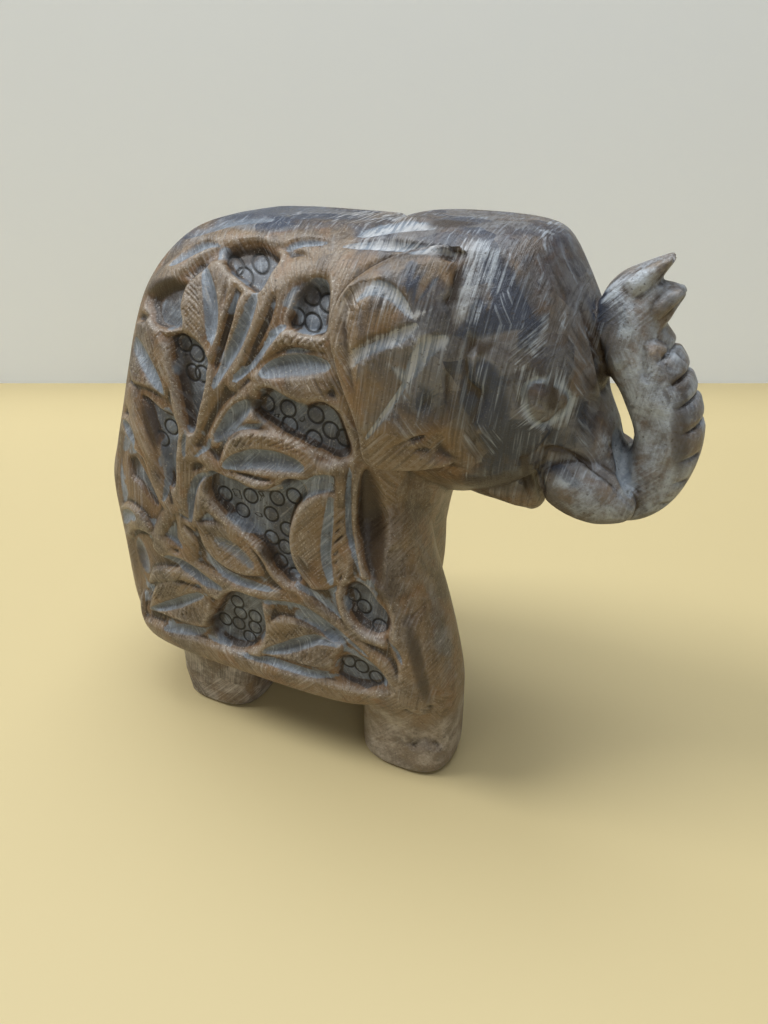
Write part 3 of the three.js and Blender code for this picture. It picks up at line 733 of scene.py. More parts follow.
# %% Gouged midribs and grooves: path, half width, depth, lean, blueness
gouges = [
    ([(-7.1, 72.2), (-7, 69), (-7.2, 66), (-7.6, 63)], 1.05, 1.3, 0, 1),
    ([(-4.3, 70.4), (-5.2, 68.2), (-5.8, 66.4)], 0.5, 0.7, 0, 0.1),
    ([(-0.4, 69.9), (-2, 67), (-4, 63.5), (-6.2, 60.3), (-8, 57.3)], 0.85, 1.15, 0, 1),
    ([(2.8, 66.4), (0.6, 64.6), (-1.6, 62), (-3.4, 60), (-4.8, 58.6)], 0.75, 1.1, -0.3, 1),
    ([(-1, 60), (1.5, 61.1), (4.5, 61.9), (8.6, 62.5)], 1.3, 1.4, 0.5, 1),
    ([(-2, 56.6), (-4.5, 54.6), (-7, 51.8), (-8.6, 50)], 1.2, 1.3, -0.4, 1),
    ([(-8, 46.4), (-4, 48.1), (-0.5, 48.8), (2, 48.9), (4.4, 48.8)], 1.45, 1.45, 0.4, 1),
    ([(4.2, 46.4), (6, 47.4), (8.4, 48.3)], 0.8, 1.1, 0.3, 1),
    ([(-11, 35), (-8, 34), (-6, 32.8), (-4.4, 31.8)], 1.4, 0.75, 0, 0.5),
    ([(-13.6, 32.8), (-12, 30.7), (-10, 29.3), (-7, 28.7), (-4, 28.7), (-1.9, 28.9)], 0.65, 1.1, 0, 1),
    ([(8, 45.8), (7.4, 42), (6.9, 38.5), (6.8, 36), (7.3, 32.4)], 0.85, 1.2, 0, 1),
    ([(8.4, 22.7), (5, 22.6), (2, 20.7), (-1, 18.8), (-4.6, 16.9)], 1.1, 1.35, -0.2, 1),
    ([(-13.4, 24.6), (-16.5, 22.9), (-20, 20.7), (-25.4, 18)], 0.9, 1.25, -0.2, 1),
    ([(-23, 15.2), (-19, 16.1), (-14.8, 17.1)], 0.95, 1.1, 0.3, 0.9),
    ([(-19.4, 62.6), (-18.4, 59.5), (-17.2, 57), (-16.1, 54.9)], 1.1, 1.1, 0.3, 1),
    ([(-20.4, 29.4), (-17, 28.7), (-13, 26.9), (-10.4, 26.6)], 1, 1.1, 0.2, 0.9),
    ([(-4.6, 26.1), (-2, 26.7), (2, 27.2), (5, 26.4), (8, 24.9), (10.5, 23.5),
      (12.8, 22.5)], 0.6, 1, 0.2, 0.9),
    ([(1.4, 30.9), (4, 30.3), (6, 29.4), (8.4, 27.4)], 0.5, 0.9, 0, 0.8),
    ([(-14.4, 36.8), (-14.1, 39.5), (-13.4, 42), (-12, 44), (-9.2, 45.5)], 0.65, 1.1, 0, 0.85),
    ([(-9, 50.6), (-10.4, 48.8), (-12.2, 47)], 0.4, 0.8, 0, 0.8),
    ([(-13.1, 50.6), (-13.8, 48.5), (-13.9, 46.6)], 0.35, 0.6, 0, 0.8),
    ([(10.8, 50.6), (10.4, 46), (10.4, 42), (10.8, 38.5), (11.8, 34.8)], 0.5, 1, 0, 0.9),
    ([(15.8, 26), (17, 24.6), (17.8, 22.8)], 0.45, 0.8, 0, 0.6),
    ([(14.4, 36.2), (12.8, 34.6), (12.3, 33.2)], 0.5, 0.8, 0, 0.8),
    ([(-9, 15.2), (-2, 15.5), (4, 15.8), (7.8, 16.8)], 0.7, 0.9, 0, 0.8),
    ([(-26.8, 33.6), (-25.8, 35.2), (-24.3, 34.8)], 0.95, 0.6, 0, 1),
    ([(-25.3, 31.4), (-25, 28), (-24.6, 24.6)], 1.2, 1.5, -0.3, 0.5),
    ([(-19.6, 33.6), (-18.2, 32.8), (-16.6, 31.6)], 0.7, 1.1, 0, 0.5),
    ([(-23.1, 50.6), (-22.7, 48.4), (-22.6, 46.4)], 0.7, 0.8, 0, 1),
    ([(-17.9, 44), (-18.1, 41.5), (-18.6, 39)], 0.4, 0.9, 0, 0.8),
    ([(-16.6, 38), (-15.6, 37.2), (-14.2, 37.1)], 0.35, 0.6, 0, 0.4),
    ([(-14, 74.6), (-10, 75), (-6, 76.2), (-2, 77.2), (3, 77.6)], 0.5, 0.8, 0, 0.5),
    ([(-12, 71.6), (-9.4, 73.2), (-6.6, 74.4), (-4.6, 74.6)], 0.5, 0.9, 0, 0.6),
    ([(3.4, 74.8), (6, 75.6), (9, 75.8)], 0.4, 0.8, 0, 0.6),
]
GOUGE_BREADTH = 1.25
behind_shoulder = [(13.2, 51), (13.6, 45), (13.4, 39), (14.4, 34)]
for path, half, depth, lean, blue in gouges:
    relief.gouge(drawn, path, GOUGE_BREADTH * half, depth, lean, blue)
relief.gouge(drawn, behind_shoulder, 2.3, 1.7, -0.3, 0)
print(len(gouges), "gouges to a side")

# %% Creases, which stay brown: path, half width, depth
creases = [
    ([(-2.9, 70.5), (-4.2, 67.4), (-5.8, 64), (-7.3, 60.4), (-8.2, 58.4)], 0.7, 1.5),
    ([(2.2, 70.2), (0.6, 67), (-1.6, 63.4), (-3.4, 60.6)], 0.9, 1.2),
    ([(0.5, 63.6), (3, 64), (6, 63.9), (8.4, 64)], 0.35, 0.8),
    ([(-20.6, 55.8), (-18.2, 55.4), (-15.9, 54.7)], 0.4, 1),
    ([(-26.2, 30.8), (-25, 32.3), (-21.8, 32.2)], 0.6, 1.3),
    ([(-4.4, 16.6), (0, 16.8), (4, 17.2), (7.4, 18.6)], 0.4, 0.9),
    ([(-9, 45.9), (-6, 46), (-2, 46), (0.8, 46.6)], 0.4, 1),
    ([(-8.8, 60.6), (-9.8, 63), (-11.8, 64.2)], 0.4, 0.7),
    ([(2.6, 43.4), (1.4, 40), (1, 37), (1.6, 33.8), (4, 31.2)], 0.4, 0.7),
    ([(-9.5, 25.4), (-12.4, 23.6), (-15, 24.8)], 0.4, 0.7),
    ([(-16.2, 36.4), (-14.4, 34.8), (-13.4, 32.6), (-13.6, 30)], 0.5, 0.9),
]
for path, half, depth in creases:
    relief.gouge(drawn, path, half, depth, blue=0)
print(len(creases), "creases to a side")

# %% Feathered leaf edges: path, side, from, to, pitch, slant, depth
feathers = [
    ([(-7.6, 63), (-7.2, 66), (-7, 69), (-7.1, 72)], 1, 1.4, 4.4, 0.85, 1, 0.26),
    ([(-6, 62.6), (-5.4, 66), (-5, 70), (-5.4, 72.4)], -1, 0.4, 1.7, 0.8, 1.2, 0.2),
    ([(0.6, 63.6), (4, 64.3), (8.4, 64.2)], 1, 0.1, 1.9, 0.9, 1.1, 0.3),
    ([(1, 60.4), (5, 61), (8.8, 61.6)], -1, 0.7, 2.4, 0.7, 0.7, 0.16),
    ([(-8, 47.8), (-4, 49.8), (0, 50.6), (5, 50)], 1, 0.3, 2.5, 1.05, 1.7, 0.32),
    ([(-7.4, 46.6), (-4, 46.4), (0.4, 46.6)], -1, 0.3, 1.9, 0.8, 1.6, 0.25),
    ([(7.5, 33), (7, 36), (7.2, 38.5), (7.7, 42), (8.3, 45.6)], -1, 0.7, 2.4, 1.6, 1.6, 0.4),
    ([(6.4, 33.4), (6, 37), (6.4, 41), (7, 45)], 1, 0.4, 4.4, 1.1, 2.4, 0.14),
    ([(-4.4, 17), (-1, 18.8), (2, 20.7), (5, 22.4), (8, 22.7)], -1, 1, 3, 1, -0.9, 0.32),
    ([(-4.4, 17), (-1, 18.8), (2, 20.7), (5, 22.4), (8, 22.7)], 1, 1.3, 4.2, 0.95, 2.2, 0.24),
    ([(-25, 18.2), (-20, 20.8), (-16.5, 23), (-13.6, 24.6)], 1, 1.4, 5, 0.9, 2, 0.24),
    ([(-25, 18.2), (-20, 20.8), (-16.5, 23), (-13.6, 24.6)], -1, 0.8, 3, 0.95, -0.8, 0.28),
    ([(-16.4, 55.6), (-17.6, 59), (-18.2, 63)], -1, 0.8, 2.6, 0.6, 3.5, 0.18),
    ([(-16.4, 55.6), (-18.4, 57), (-20, 61)], 1, 0.2, 2.2, 0.8, 1.2, 0.18),
    ([(-13, 34), (-9, 33.6), (-4.6, 31.6)], 1, 0.4, 3, 1, 1.4, 0.2),
    ([(-13, 34), (-9, 33.6), (-4.6, 31.6)], -1, 0.4, 2.6, 1, 1.4, 0.2),
]
for path, side, inner, outer, pitch, slant, depth in feathers:
    relief.feather(drawn, path, side, inner, outer, pitch, slant, depth)
print(len(feathers), "feathered edges to a side")

# %% Ear and head, in the same columns as the flank
head_gouges = [
    ([(7.9, 65.4), (8.2, 68), (9.8, 69.7), (12, 70.3), (14, 69.6), (16.2, 67.5)], 1.05, 0.6, 0.5, 0.9),
    ([(7.8, 60.2), (9.5, 62.5), (12, 64), (14.6, 65.2), (17, 66.9)], 1.05, 0.6, 0.5, 0.9),
    ([(10.2, 51.8), (13, 55.8), (15, 59), (16.2, 61.6)], 0.42, 0.5, 0.3, 0.9),
    ([(15.8, 60.4), (17, 62.8), (18.4, 64.6), (20.6, 65.8)], 1.15, 0.5, 0.3, 0.9),
    ([(8, 74.4), (12, 74.9), (16, 74.9), (21, 74.8)], 0.55, 0.6, 0, 0.9),
    ([(9.6, 75.6), (13, 76.7), (16, 77.2), (18.8, 77.2)], 0.6, 0.6, 0, 0.9),
    ([(39.2, 59), (39.9, 56), (40.6, 54), (41.9, 51.2)], 0.7, 0.5, 0, 0.9),
]
head_creases = [
    ([(9, 57), (7.9, 63), (8.1, 67.8), (10.8, 71.6), (15.8, 73.9), (21.4, 74.4)], 0.8, 0.4),
    ([(8.4, 62.6), (11, 64.4), (15.4, 66.6)], 0.4, 0.3),
    ([(21.8, 74.6), (21.4, 73), (21, 71), (20.6, 69), (21.2, 66.6)], 0.5, 0.5),
    ([(33.4, 72.6), (35, 69.6), (36.3, 66.6), (37, 64.2), (37.4, 62)], 0.6, 0.8),
    ([(29.2, 54.6), (29.8, 52.6), (30.6, 50.4), (31.6, 48.4)], 0.5, 0.3),
    ([(31.4, 53), (32, 51), (32.6, 48.6)], 0.6, 0.5),
    ([(31, 53.6), (33, 55.4), (36, 54.8), (38.4, 53.5), (40.4, 52), (42.4, 50)], 0.45, 0.6),
    ([(27, 61.4), (25.6, 57), (23.6, 53.4), (22, 52)], 0.2, 0.14),
    ([(24.1, 65.8), (24.2, 64), (23.8, 62)], 0.6, 0.4),
    ([(28, 63.8), (27.8, 62.4), (28.4, 60.4), (29.4, 58.4)], 0.5, 0.35),
    ([(12.6, 50.6), (15.6, 52.6), (18.4, 54)], 0.35, 0.35),
    ([(11.4, 49.2), (14.6, 51.4), (20, 51.8), (26, 50.6)], 0.3, 0.25),
]
head_feathers = [
    ([(8.1, 65.4), (8.4, 68), (10, 69.5), (12, 70), (14, 69.3), (16, 67.4)], -1, 0, 2, 1.1, 0.2, 0.16),
    ([(8.2, 60.4), (9.8, 62.4), (12, 63.8), (14.6, 65), (17, 66.6)], -1, 0, 2, 1.1, 0.2, 0.16),
    ([(16, 60.4), (17.2, 62.6), (18.6, 64.4), (20.8, 65.4)], -1, 0, 1.4, 0.9, 0.2, 0.12),
    ([(21.8, 76.2), (24, 76.2), (27.4, 76.2)], -1, 0.2, 8, 0.62, 0.28, 0.1),
    ([(27.6, 64), (30, 66.4), (33.2, 69.6)], 1, -0.9, 2.6, 3, 9, 0.1),
]
HEAD_GOUGE_BREADTH = 1.2
for path, half, depth, lean, blue in head_gouges:
    relief.gouge(drawn_head, path, HEAD_GOUGE_BREADTH * half, depth, lean, blue, pale=0.7)
for path, half, depth in head_creases:
    relief.gouge(drawn_head, path, half, depth, blue=0)
for path, side, inner, outer, pitch, slant, depth in head_feathers:
    relief.feather(drawn_head, path, side, inner, outer, pitch, slant, depth, pale=0.8)

print(len(head_gouges), "gouges and", len(head_creases), "creases on each side of the head")

# %% The ring round the eye


def bell(value, middle, width):
    """exp(-u^2), u the distance from the middle as a share of the width."""
    return np.exp(-(((value - middle) / width) ** 2))


EYE_AT = (31.7, 60.4)
WAVER = 0.22
off_eye = (drawn_head - EYE_AT).T
from_eye = np.hypot(*off_eye) + WAVER * np.sin(3 * np.arctan2(*off_eye) + 1)
socket = bell(from_eye, 2.5, 0.45)
relief.depth += 0.4 * socket
relief.blue = np.maximum(relief.blue, 0.75 * socket)
relief.pale = np.maximum(relief.pale, 0.68 * bell(from_eye, 2.7, 0.7))
print("eyes ringed at", EYE_AT)

# %% [markdown]
# The trunk is too slim to carve deeply, so its outer edge was only nicked across with the corner of a file:
# a row of lumps. Distance along the trunk decides where each nick falls, and distance from its middle line
# decides how far round the side it runs.

# %% Trunk
NICK_PITCH = 2.6
NICK_DEPTH = 0.9
NICKS_START = 18
trunk_line = smooth_rows(trunk_rows, 100)[:, :2]
near, across, along, length = beside_path(skin[:, [0, 2]], trunk_line, 6)
lump = np.abs(np.sin(np.pi * (along - NICKS_START) / NICK_PITCH))
outer_edge = ramp(-across, 1.4, 3.8)
nicked = between(along, NICKS_START, NICKS_START + 2, 35.5, 38.5)
trunk_only = (skin[near, 0] > 36) & (skin[near, 2] > 44)
nicks = NICK_DEPTH * (1 - lump) ** 2.8 * outer_edge * nicked * trunk_only
relief.notch[near] = np.maximum(relief.notch[near], nicks)
print("trunk is", round(length, 1), "mm along its middle line")

# %% [markdown]
# A ring punch, a short steel tube with a sharpened end, was struck again and again into the floor of each
# pocket. Each blow leaves a thin circle, and dark polish has collected in it.

# %% Rings: along and up
RING_RADIUS = 1.03
RING_LINE = 0.15
RING_DEPTH = 0.22
rings = [
    (-0.1, 56.8), (2.8, 56.6), (2.9, 54.6), (6.5, 56.5), (8.4, 54.9), (6.1, 53.4), (10.2, 54.3),
    (6.75, 70.1), (4.7, 67.6), (6.7, 67.2), (8.7, 69.5),
    (-7.7, 42.9), (-3.7, 43.5), (-5.2, 41), (-0.8, 41.5), (0.3, 44.1), (2.8, 45), (-1, 37.9), (1.5, 39.8),
    (1, 37), (0.1, 34.6), (2.3, 33),
    (-7.8, 25.4), (-7.5, 23.5), (-5, 23.7), (-8, 21.5), (-5.2, 21.7), (-6.3, 19.6), (-10.3, 21.5),
    (9.8, 21), (11.8, 20.7), (14, 19.6),
    (10.8, 32.4), (12.3, 31), (14.6, 28.6),
    (-11.1, 62.6), (-9.5, 61.5), (-10.4, 59), (-9, 59), (-2.7, 72.3), (0.6, 72.8), (-1.6, 71.2),
    (-16.8, 49), (-15, 51),
]
rings = np.array(rings)
print(len(rings), "rings to a side")

# %% [markdown]
# The rump was worked in the same way, but more simply: five long leaves fan out from one upright stem, with
# three ringed pockets between them. It is drawn straight on, as seen from behind.

# %% Rump: pockets are right, up, half length, half width, turn in degrees
rump_weight = ramp(-outward[:, 0], 0.55, 0.8) * (1 - side_weight)
drawn_rump = skin[:, [1, 2]] * (-1, 1)
rump = Relief(len(skin))
RUMP_GROUND = 0.6
RUMP_POCKET = 0.75 * POCKET_DEPTH
rump_field = [(-9, 17), (9, 17), (12.4, 30), (12, 48), (9, 62), (0, 66), (-9, 62), (-12, 48), (-12.4, 30)]
rump_pockets = [(6, 50, 4.5, 2.6, 60), (-6, 50, 4.5, 2.6, 120), (0, 27, 5, 3, 90)]
rump_stems = [
    [(0, 18.5), (0, 22)],
    [(0, 32), (0, 38), (0, 46)],
    [(0, 33), (4, 36.4), (8, 38)],
    [(0, 33), (-4, 36.4), (-8, 38)],
    [(0, 20), (4, 20.6), (7, 23.4)],
    [(0, 20), (-4, 20.6), (-7, 23.4)],
]
rump_leaves = [
    [(0, 44), (-0.6, 53), (0, 63)],
    [(3, 35), (7.4, 38.6), (11.4, 45)],
    [(-3, 35), (-7.4, 38.6), (-11.4, 45)],
    [(4.6, 19.6), (7.4, 25), (11, 32)],
    [(-4.6, 19.6), (-7.4, 25), (-11, 32)],
]
rump.lower(drawn_rump, rump_field, RUMP_GROUND, 1.2)
CORNERS = 10
around = np.linspace(0, 2 * np.pi, CORNERS, endpoint=False)
for right, up, half_long, half_wide, turn in rump_pockets:
    c, s = math.cos(math.radians(turn)), math.sin(math.radians(turn))
    long, wide = half_long * np.cos(around), half_wide * np.sin(around)
    outline = np.column_stack([right + c * long - s * wide, up + s * long + c * wide])
    rump.pocket(drawn_rump, outline.tolist(), RUMP_POCKET)
STEM_HALF = 0.8
LEAF_HALF = 2.1
for path in rump_stems:
    rump.stem(drawn_rump, path, STEM_HALF)
for root, middle, tip in rump_leaves:
    heading = np.subtract(tip, root) / np.linalg.norm(np.subtract(tip, root))
    beside = np.array([-heading[1], heading[0]]) * LEAF_HALF
    rump.leave(drawn_rump, [root, tuple(middle - beside), tip, tuple(middle + beside)], LEAF_EASE)
    path = [root, middle, tip]
    rump.gouge(drawn_rump, path, 1.1, 0.8, 0.2)
    for side in (1, -1):
        rump.feather(drawn_rump, path, side, 1.1, 2.4, 0.95, 1.2, 0.2)
rump_rings = np.array([
    (4.7, 47.8), (6, 50), (7.3, 52.2), (-4.7, 47.8), (-6, 50), (-7.3, 52.2),
    (-0.9, 24.4), (1.1, 25.6), (-0.6, 27.8), (0.8, 29.8),
])
print(len(rump_leaves), "leaves and", len(rump_pockets), "pockets on the rump")

# %% Cut the relief, then strike the rings
SOFTEN_ROUNDS = 6


def all_round(what):
    """One of the relief's depths or masks, the sides' and the rump's together."""
    return getattr(relief, what) * side_weight + getattr(rump, what) * rump_weight


def strike(places, centres, where, depth):
    """Deepens the places by a ring line round each centre: depth exp(-u^2), u the distance off the line."""
    for centre in centres:
        near = np.flatnonzero((np.abs(places - centre) < RING_RADIUS + 0.6).all(1) & where)
        radius = np.hypot(*(places[near] - centre).T)
        depth[near] = np.maximum(depth[near], RING_DEPTH * bell(radius, RING_RADIUS, RING_LINE))


cut_depth = rubbed(all_round("depth")[:, None], SOFTEN_ROUNDS)[:, 0]
carved = skin - outward * cut_depth[:, None]
ring_depth = np.zeros(len(skin))
strike(on_sheet(carved, SHEET), rings, True, ring_depth)
strike(drawn_rump, rump_rings, rump_weight > 0.1, ring_depth)
on_floor = all_round("pocket_floor")
carved = carved - outward * (ring_depth * on_floor + all_round("notch"))[:, None]
print("deepest cut", cut_depth.max().round(2), "mm")

# %% [markdown]
# The plain parts were never turned or sanded round. They were pared with a flat knife, and each stroke left
# a small flat with a soft edge to it. A flat is a plane laid a little below the skin, square to the smooth
# outward direction at one spot: whatever stands above the plane is pressed down on to it.

# %% Pared flats: along, up, depth
head_flats = [
    (24.4, 72.6, 0.4), (28.6, 70.2, 0.3), (25.6, 66.4, 0.3), (31.4, 67.4, 0.35), (25, 60, 0.3),
    (28.6, 63.4, 0.25), (33.4, 63, 0.25), (28.6, 54.4, 0.3), (22, 56, 0.25), (33.8, 56, 0.2),
    (24.6, 52, 0.25), (30.6, 72.6, 0.3), (33.4, 71, 0.5), (35, 65.6, 0.45), (37, 70.6, 0.4),
    (39.6, 66.6, 0.3), (41.4, 61.6, 0.25), (43, 56.4, 0.25), (43.4, 51.4, 0.25), (40.6, 72.4, 0.15),
    (41, 69.4, 0.2), (34.4, 48.6, 0.25), (40, 47.6, 0.3), (19.4, 62, 0.2), (14, 58.6, 0.2),
    (18.4, 70.4, 0.25),
]
leg_flats = [
    (20.4, 28, 0.7), (21.6, 21, 0.6), (18, 36, 0.5), (21.4, 13.4, 0.4), (17, 7, 0.25),
    (12.4, 8, 0.25), (-16, 6.4, 0.3), (-21, 6, 0.3), (21, 6, 0.3),
]
FLAT_REACH = 6
OTHER_SIDE = 99


def pared(points, places, flats):
    """Presses each flat's plane into the skin round its middle, on both sides of the elephant. Points that
    stand far above the plane belong to some other form, such as the ear, and stay where they are."""
    for along, up, deep in flats:
        for side in (-1, 1):
            distance = np.hypot(*(places - (along, up)).T) + OTHER_SIDE * (points[:, 1] * side < 0)
            middle = distance.argmin()
            away = np.linalg.norm(points - points[middle], axis=1)
            near = np.flatnonzero((away < FLAT_REACH) & (outward @ outward[middle] > 0.3))
            above = (points[near] - points[middle]) @ outward[middle] + deep
            own = ramp(-above, -deep - 0.7, -deep - 0.3) * ramp(-away[near], -FLAT_REACH, 1.5 - FLAT_REACH)
            points[near] -= (np.clip(above, 0, None) * own)[:, None] * outward[middle]
    return points


carved = pared(carved, drawn_head, head_flats)
carved = pared(carved, drawn, leg_flats)
print(len(head_flats) + len(leg_flats), "flats to a side")

# %% [markdown]
# Soapstone from one block is never one colour. This block is slate blue with brown clouds through it. After
# carving it was waxed and handled: the wax went ochre on the ridges and near black in the corners, and
# the gouged hollows, rubbed last, stayed pale blue-grey. The ridges are also lightened as a painted
# highlight, and the corners and the faces that look downward are darkened as painted shade. Each of these
# is a smooth number painted on the points of the skin, from 0 to 1, that the shader mixes by.

# %% Daubs of slate and of pale stone


def daubs(places, marks):
    """The strongest of some soft oval daubs: exp(-(a^2 + b^2)^2), a and b the distances along the oval's
    own axes as shares of its half sizes. A mark is along, up, half along, half up, turn in degrees and
    strength."""
    painted = np.zeros(len(places))
    for along, up, half_along, half_up, turn, strength in marks:
        offset = places - (along, up)
        c, s = math.cos(math.radians(turn)), math.sin(math.radians(turn))
        a = (offset[:, 0] * c + offset[:, 1] * s) / half_along
        b = (offset[:, 1] * c - offset[:, 0] * s) / half_up
        painted = np.maximum(painted, strength * np.exp(-((a**2 + b**2) ** 2)))
    return painted


slate_marks = [
    (24.8, 60, 3, 4.4, 6, 1), (26.4, 70, 1.7, 4.2, 4, 1), (23.6, 68.4, 1.4, 2.6, 0, 0.8),
    (28.2, 55.6, 4.2, 2.6, 16, 0.95), (33, 56.6, 3.2, 1.2, 8, 0.7), (36.8, 70.4, 1.8, 2.8, 20, 0.9),
    (37.4, 66.6, 1.4, 2.4, 20, 0.6), (16, 71.8, 0.8, 2.2, 0, 0.9), (18.8, 72, 0.6, 1.6, 0, 0.6),
    (17.6, 58.6, 1.6, 2.4, -10, 0.7), (28.6, 74.6, 2.2, 1.2, 20, 0.5), (35.4, 60, 1, 2.6, 10, 0.6),
    (43.6, 59, 1.2, 3, 10, 0.5), (21.8, 67, 1, 0.8, 0, 0.9), (29.6, 67.4, 2.6, 1.6, 48, 0.8),
    (34.4, 52.6, 2.8, 1, -30, 0.7),
]
pale_marks = [
    (23.4, 74, 2.6, 2.6, 0, 0.8), (22.4, 70.4, 1.7, 3, 4, 0.65), (21.3, 67.8, 0.7, 1.6, 0, 0.5),
    (30.3, 67, 3.8, 1.4, 48, 0.62), (38.4, 73.2, 3.2, 1.6, 36, 0.75), (39.6, 69.4, 1.4, 2.4, 0, 0.4),
    (40.6, 66, 1.6, 1.7, 0, 0.75), (25.4, 71.6, 1.6, 0.7, 40, 0.5), (12, 77.2, 5.6, 0.8, 6, 0.5),
    (14, 75.2, 6.6, 0.6, 2, 0.45), (41.2, 54.6, 0.8, 3.4, 14, 0.85), (17.6, 65.2, 2, 0.9, 20, 0.6),
    (11.6, 68.6, 3, 1.3, 10, 0.45), (11, 62.8, 2.8, 1, 38, 0.45), (16.4, 67.8, 0.6, 0.5, 0, 1),
    (30, 77, 0.8, 1.4, 0, 0.5), (37.4, 49.4, 3.6, 1.6, -10, 0.36), (34.6, 51.4, 0.8, 0.5, 0, 0.9),
    (21, 54, 3, 1.6, 0, 0.3),
]
print(len(slate_marks), "slate and", len(pale_marks), "pale daubs on each side of the head")

# %% Daubs of brown, slate on the back, and ways of stroking
brown_marks = [
    (24.2, 65.2, 0.8, 1, 0, 0.9), (20.6, 77.7, 3.2, 0.6, 6, 1), (28.2, 63.2, 0.4, 1.4, 0, 1),
    (32.3, 61, 0.9, 1.5, -8, 1), (30.4, 52, 0.7, 3.2, 8, 1), (35, 65, 1.3, 5, 22, 0.6),
    (37.8, 63.8, 0.9, 2, 20, 0.9), (32, 71, 1.4, 3.6, -28, 0.5), (45.4, 59.4, 1.2, 5, 8, 0.75),
    (41.6, 71.8, 1.5, 1.8, 0, 0.6), (29.4, 61, 0.5, 1.8, 0, 0.6), (13.4, 50.6, 2.6, 1.2, 36, 0.9),
    (18, 53, 3, 0.8, 30, 0.6), (26, 49.4, 7, 1, 4, 0.7), (33.4, 55.2, 2.4, 0.5, 0, 0.9),
    (15.4, 62, 0.5, 3, -20, 0.5),
]
ear_brown_marks = [
    (18, 73, 5, 1.6, 0, 1), (9.8, 70.6, 1.6, 4, -36, 1), (8.2, 63.6, 1.1, 5, 4, 1),
    (10, 57.4, 1.2, 4, -16, 1), (13, 66.8, 2.6, 1.2, 30, 0.8), (13.6, 61.4, 2.4, 1.6, 50, 0.8),
    (16, 51.6, 4, 1.4, 20, 1),
]
# Brown daubs on the flank sit in the shoulder recess and on the left walls of pockets: dark polish there,
# and painted shade.
flank_brown_marks = [
    (13.6, 43, 2.2, 8.5, 2, 1), (15, 35, 2.4, 4, -10, 0.7), (20, 24, 1.4, 8, 14, 0.8),
    (-13.4, 18.6, 1.2, 2.8, -14, 0.8), (-10.8, 43, 1.2, 1.6, 0, 0.6), (5.6, 70.4, 1.4, 2.4, -30, 0.7),
    (-2.4, 74.2, 2.4, 0.9, 12, 0.9), (-13.2, 69, 3, 1.2, 18, 1), (-13, 58, 1, 5, 0, 0.8),
    (-19.6, 50, 0.8, 4, 10, 0.9), (-23.8, 43.6, 0.9, 1.4, 0, 1), (10.4, 31, 1.2, 2.6, 0, 0.5),
    (9.4, 20.4, 1.6, 0.7, 0, 0.8), (10.8, 32.6, 0.9, 0.9, 0, 0.8), (-2.4, 56, 0.8, 2, 20, 0.8),
    (-26.2, 27, 1, 5, 0, 0.6), (-2.4, 34.4, 1, 2.4, 34, 0.7), (-8, 44.4, 1.6, 1, 0, 0.6),
    (1.6, 45.9, 1.4, 0.9, 30, 0.8),
]
back_slate_marks = [
    (-14, 75, 8, 2.4, 8, 0.8), (0, 78, 9, 2, 0, 0.9), (-22, 66, 2, 5, 14, 0.6), (-3, 25, 3, 1, -30, 0.5),
    (21, 12, 2, 5, 0, 0.4), (-24, 40, 2, 9, 0, 0.4), (23, 30, 1.6, 9, 12, 0.5), (10, 79, 9, 2, 0, 0.8),
    (-20, 26, 6, 1.4, -20, 0.4), (12, 26, 3, 1.4, 30, 0.4),
]
rising_marks = [
    (30.3, 67, 4.4, 2.4, 48, 1), (38.8, 72.4, 4, 3.2, 40, 1), (42.8, 53, 2, 4, 20, 0.9),
    (30, 58, 2.4, 2, 0, 0.8), (36, 49.6, 4, 2, 0, 0.9), (13, 68, 3, 2, 20, 0.7),
]
falling_marks = [
    (34.8, 66, 1.8, 7, 24, 1), (31.6, 74.6, 2.4, 3, 20, 1), (26.4, 69.6, 1.6, 3, 0, 0.7),
    (39, 64, 2.2, 4, 0, 0.9), (24, 54, 4, 2.6, 20, 0.8), (36.6, 57, 1.6, 4, 10, 0.8),
    (44.6, 62, 2, 4, 0, 0.9),
]
print(len(brown_marks + ear_brown_marks + flank_brown_marks), "brown daubs to a side")

# %% Where each part of the animal is
x, _, z = skin.T
on_head = ramp(x, 19, 24) * ramp(z, 40, 46)
on_ear = ramp(drawn_head[:, 0], 8, 10) * (1 - on_head) * ramp(z, 52, 58)
on_face = on_head + on_ear
on_foot = ramp(-z, -12.5, -11)
on_trunk = np.maximum(ramp(x, 35.5, 37), ramp(x, 31, 34) * ramp(-z, -51, -49.5) * on_head)
rubbed_bare = np.clip(on_trunk + on_foot * (0.35 + 0.65 * ramp(x, -6, 2)), 0, 1)
hand_led = np.clip(on_head + 0.6 * on_ear, 0, 1)
way = 0.5 + 0.4 * (daubs(drawn_head, rising_marks) - daubs(drawn_head, falling_marks))
for name, part in {"head": on_head, "ears": on_ear, "feet": on_foot, "trunk": on_trunk}.items():
    print(name, "cover", round(100 * part.mean(), 1), "% of the skin's points")

# %% Slate, brown and pale stone, and painted shade on faces that look downward


def strongest(*layers):
    """The largest of some masks, place by place."""
    return np.maximum.reduce(layers)


ear_brown = on_ear * daubs(drawn_head, ear_brown_marks)
slate = np.clip(0.64 * on_face + 0.5 * on_foot, 0, 1) * (1 - 0.25 * on_trunk)
slate = strongest(slate, daubs(drawn, back_slate_marks) * (1 - on_ear) * (1 - on_head)) - 0.42 * ear_brown
slate = strongest(slate, 1.5 * daubs(drawn_head, slate_marks) * on_face) * (1 - 0.8 * rump_weight)

